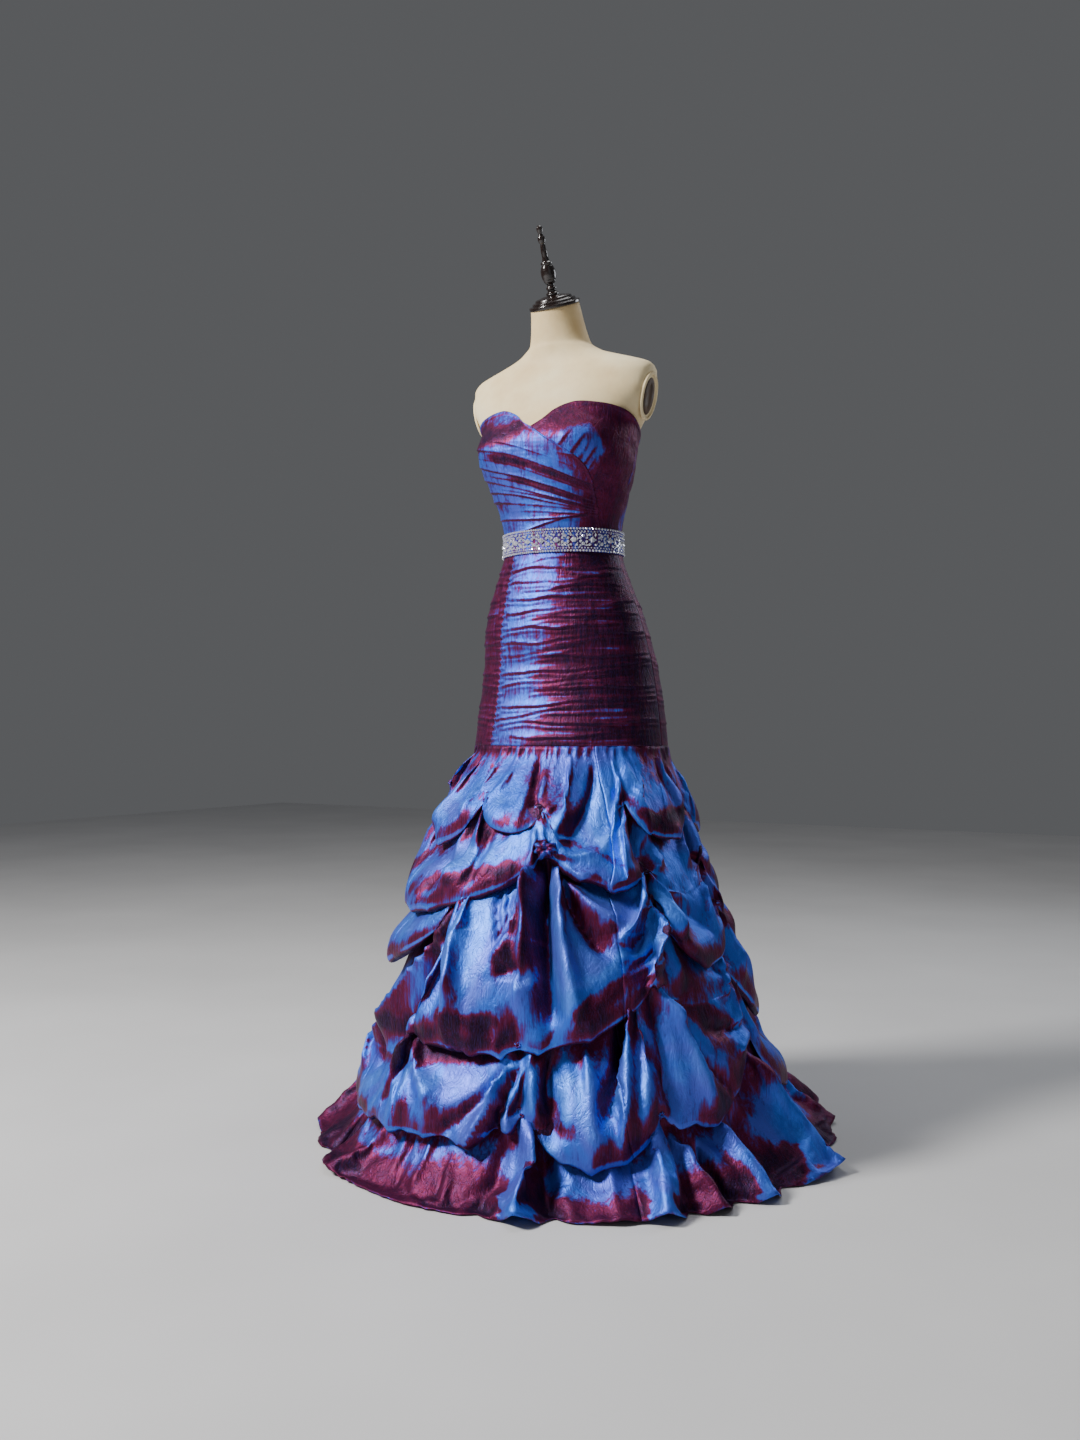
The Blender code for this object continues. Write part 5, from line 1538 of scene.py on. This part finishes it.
def build_arm_plate(side, name, cover, plate_mat):
    """A padded rim round a slightly sunk metal oval."""
    lean = math.radians(PLATE_LEAN)
    out = np.array([math.cos(lean), 0.0, -math.sin(lean)])
    up = np.array([math.sin(lean), 0.0, math.cos(lean)])
    turns = np.linspace(0, 2 * math.pi, 97)[:-1]

    def ring(lift, size):
        points = (np.array([PLATE_X, 0.0, PLATE_Z]) + out * lift
                  + np.outer(np.cos(turns) * (PLATE_TALL / 2 + size), up)
                  + np.outer(np.sin(turns) * (PLATE_WIDE / 2 + size), (0.0, 1.0, 0.0)))
        points[:, 0] *= side
        return points

    def solid(title, profile, mat, node=None):
        rings = [ring(lift, size) for lift, size in profile]
        piece = mesh_object(title, np.concatenate(rings), ring_faces(len(rings), len(turns)), mat)
        face_out(piece.data)
        piece.data.set_sharp_from_angle(angle=math.radians(35))
        hand_over(piece, node)

    rim = [(0.0020 + PAD * math.sin(a), -PAD + PAD * math.cos(a)) for a in np.linspace(0, math.pi, 9)]
    solid(f"arm_rim_{name}", [(0.0003, 0.0), *rim, (0.0014, -0.0052)], cover)
    solid(f"arm_disc_{name}", DISC_PROFILE, plate_mat, f"arm_plate_{name}")


# Turned pieces along the neck's axis: distance up, radius
CAP_PROFILE = (
    (0.0003, 0.0455), (0.0012, 0.0462), (0.0052, 0.0462), (0.0062, 0.0452), (0.0066, 0.0405),
    (0.0074, 0.0398), (0.0102, 0.0392), (0.0112, 0.0382), (0.0118, 0.0345), (0.0130, 0.0335),
    (0.0156, 0.0325), (0.0166, 0.0300), (0.0186, 0.0210), (0.0200, 0.0150), (0.0202, 0.0060),
)
FINIAL_PROFILE = (
    (0.0203, 0.0080), (0.0210, 0.0112), (0.0235, 0.0112), (0.0262, 0.0080), (0.0290, 0.0074),
    (0.0310, 0.0092), (0.0335, 0.0092), (0.0360, 0.0066), (0.0385, 0.0064), (0.0410, 0.0090),
    (0.0440, 0.0104), (0.0500, 0.0126), (0.0560, 0.0135), (0.0620, 0.0132), (0.0680, 0.0116),
    (0.0720, 0.0090), (0.0745, 0.0102), (0.0765, 0.0102), (0.0790, 0.0066), (0.0860, 0.0054),
    (0.0950, 0.0056), (0.1030, 0.0050), (0.1080, 0.0040), (0.1110, 0.0058), (0.1150, 0.0068),
    (0.1190, 0.0064), (0.1225, 0.0044), (0.1255, 0.0034), (0.1290, 0.0048), (0.1330, 0.0056),
    (0.1370, 0.0048), (0.1395, 0.0024), (0.1400, 0.0008),
)


def build_turned(name, node, profile, mat):
    turns = np.linspace(0, 2 * math.pi, 65)[:-1]
    smooth = []
    for (h0, r0), (h1, r1) in zip(profile, profile[1:]):
        for t in (0.0, 0.25, 0.5, 0.75):
            smooth.append((h0 + (h1 - h0) * t, r0 + (r1 - r0) * (t * t * (3 - 2 * t))))
    smooth.append(profile[-1])
    tilt = Matrix.Translation(NECK_TOP) @ Matrix.Rotation(math.radians(NECK_TILT), 4, "X")
    verts = [tilt @ Vector((r * math.cos(a), r * math.sin(a), h)) for h, r in smooth for a in turns]
    piece = mesh_object(name, verts, ring_faces(len(smooth), len(turns)), mat)
    piece.data.set_sharp_from_angle(angle=math.radians(50))
    hand_over(piece, node)


def finish_cad_node(node, mat):
    """Gives a node of the solids that is shown as it is its material."""
    obj = bpy.data.objects[node]
    if obj.material_slots:
        for slot in obj.material_slots:
            slot.material = mat
    else:
        obj.data.materials.append(mat)


# Floor, light and camera

CAMERA_FAR, CAMERA_HIGH, CAMERA_TURN = 2.40, 0.75, 30.0
FOCAL_PIXELS, PICTURE_TALL, PICTURE_WIDE, AXIS_PIXEL = 1320.0, 1440.0, 1080.0, 563.0
FILM_WIDE = 36.0
FLOOR_SIZE = 14.0
SKY_COLOUR, SKY_STRENGTH = (0.80, 0.82, 0.86, 1.0), 0.13
LIGHTS = (
    # name, place, aim, size, watts, colour
    ("key", (-1.8, -2.5, 3.1), (0.0, 0.0, 0.6), 0.8, 240.0, (1.0, 0.98, 0.95)),
    ("fill", (2.9, -2.4, 1.6), (0.0, 0.0, 0.8), 2.2, 4.0, (0.92, 0.95, 1.0)),
    ("top", (0.0, 0.2, 3.4), (0.0, 0.0, 0.8), 1.4, 22.0, (1.0, 1.0, 1.0)),
    ("rim", (1.4, 2.6, 2.2), (0.0, 0.0, 0.9), 1.2, 22.0, (0.9, 0.94, 1.0)),
)


def build_studio():
    bpy.ops.mesh.primitive_plane_add(size=FLOOR_SIZE)
    floor = bpy.context.object
    floor.name = "studio_floor"
    n = Nodes("studio_floor")
    pale = n.ramp(n.noise(1.5, 3.0), ((0.3, (0.62, 0.62, 0.63)), (0.7, (0.68, 0.68, 0.69))))
    n.set(Base_Color=pale, Roughness=0.75)
    floor.data.materials.append(n.mat)
    world = bpy.data.worlds.new("studio")
    bpy.context.scene.world = world
    world.use_nodes = True
    sky = world.node_tree.nodes["Background"]
    sky.inputs["Color"].default_value = SKY_COLOUR
    sky.inputs["Strength"].default_value = SKY_STRENGTH
    for name, at, aim, size, power, colour in LIGHTS:
        light = bpy.data.lights.new(name, "AREA")
        light.size = size
        light.energy = power
        light.color = colour
        lamp = in_scene(name, light)
        lamp.location = at
        lamp.rotation_euler = (Vector(aim) - Vector(at)).to_track_quat("-Z", "Y").to_euler()
    camera = bpy.data.cameras.new("camera")
    camera.sensor_width = FILM_WIDE
    camera.lens = FOCAL_PIXELS / PICTURE_TALL * camera.sensor_width
    eye = in_scene("camera", camera)
    turn = math.radians(CAMERA_TURN)
    eye.location = (CAMERA_FAR * math.sin(turn), -CAMERA_FAR * math.cos(turn), CAMERA_HIGH)
    aside = math.atan((AXIS_PIXEL - PICTURE_WIDE / 2) / FOCAL_PIXELS)
    eye.rotation_euler = (math.pi / 2, 0.0, turn + aside)
    bpy.context.scene.camera = eye


def main():
    build_studio()
    cloth = taffeta("shot_taffeta")
    thread = thread_mat()
    build_skirt(cloth, thread)
    build_bodice(cloth, thread)
    build_hip(cloth)
    band = taffeta("belt_band_taffeta")
    clear = stone_glass("clear_stones", (0.80, 0.82, 0.92))
    build_belt(band, (clear, stone_glass("blue_stones", (0.50, 0.50, 0.78))))
    cover = form_cover()
    build_form(cover, metal("arm_plate_metal", (0.11, 0.055, 0.024), (0.03, 0.016, 0.008), 0.55, 0.25))
    wood = turned_wood()
    build_turned("neck_cap_turned", "neck_cap", CAP_PROFILE, wood)
    build_turned("finial_turned", "finial", FINIAL_PROFILE, wood)
    painted = metal("stand_paint", (0.74, 0.73, 0.70), (0.60, 0.59, 0.56), 0.40, 0.1)
    for node in ("stand_pole", "stand_base"):
        finish_cad_node(node, painted)
    enamel = metal("zip_enamel", (0.16, 0.22, 0.55), (0.08, 0.10, 0.34), 0.30, 0.6)
    for node in ("zip_slider", "zip_pull"):
        finish_cad_node(node, enamel)


main()
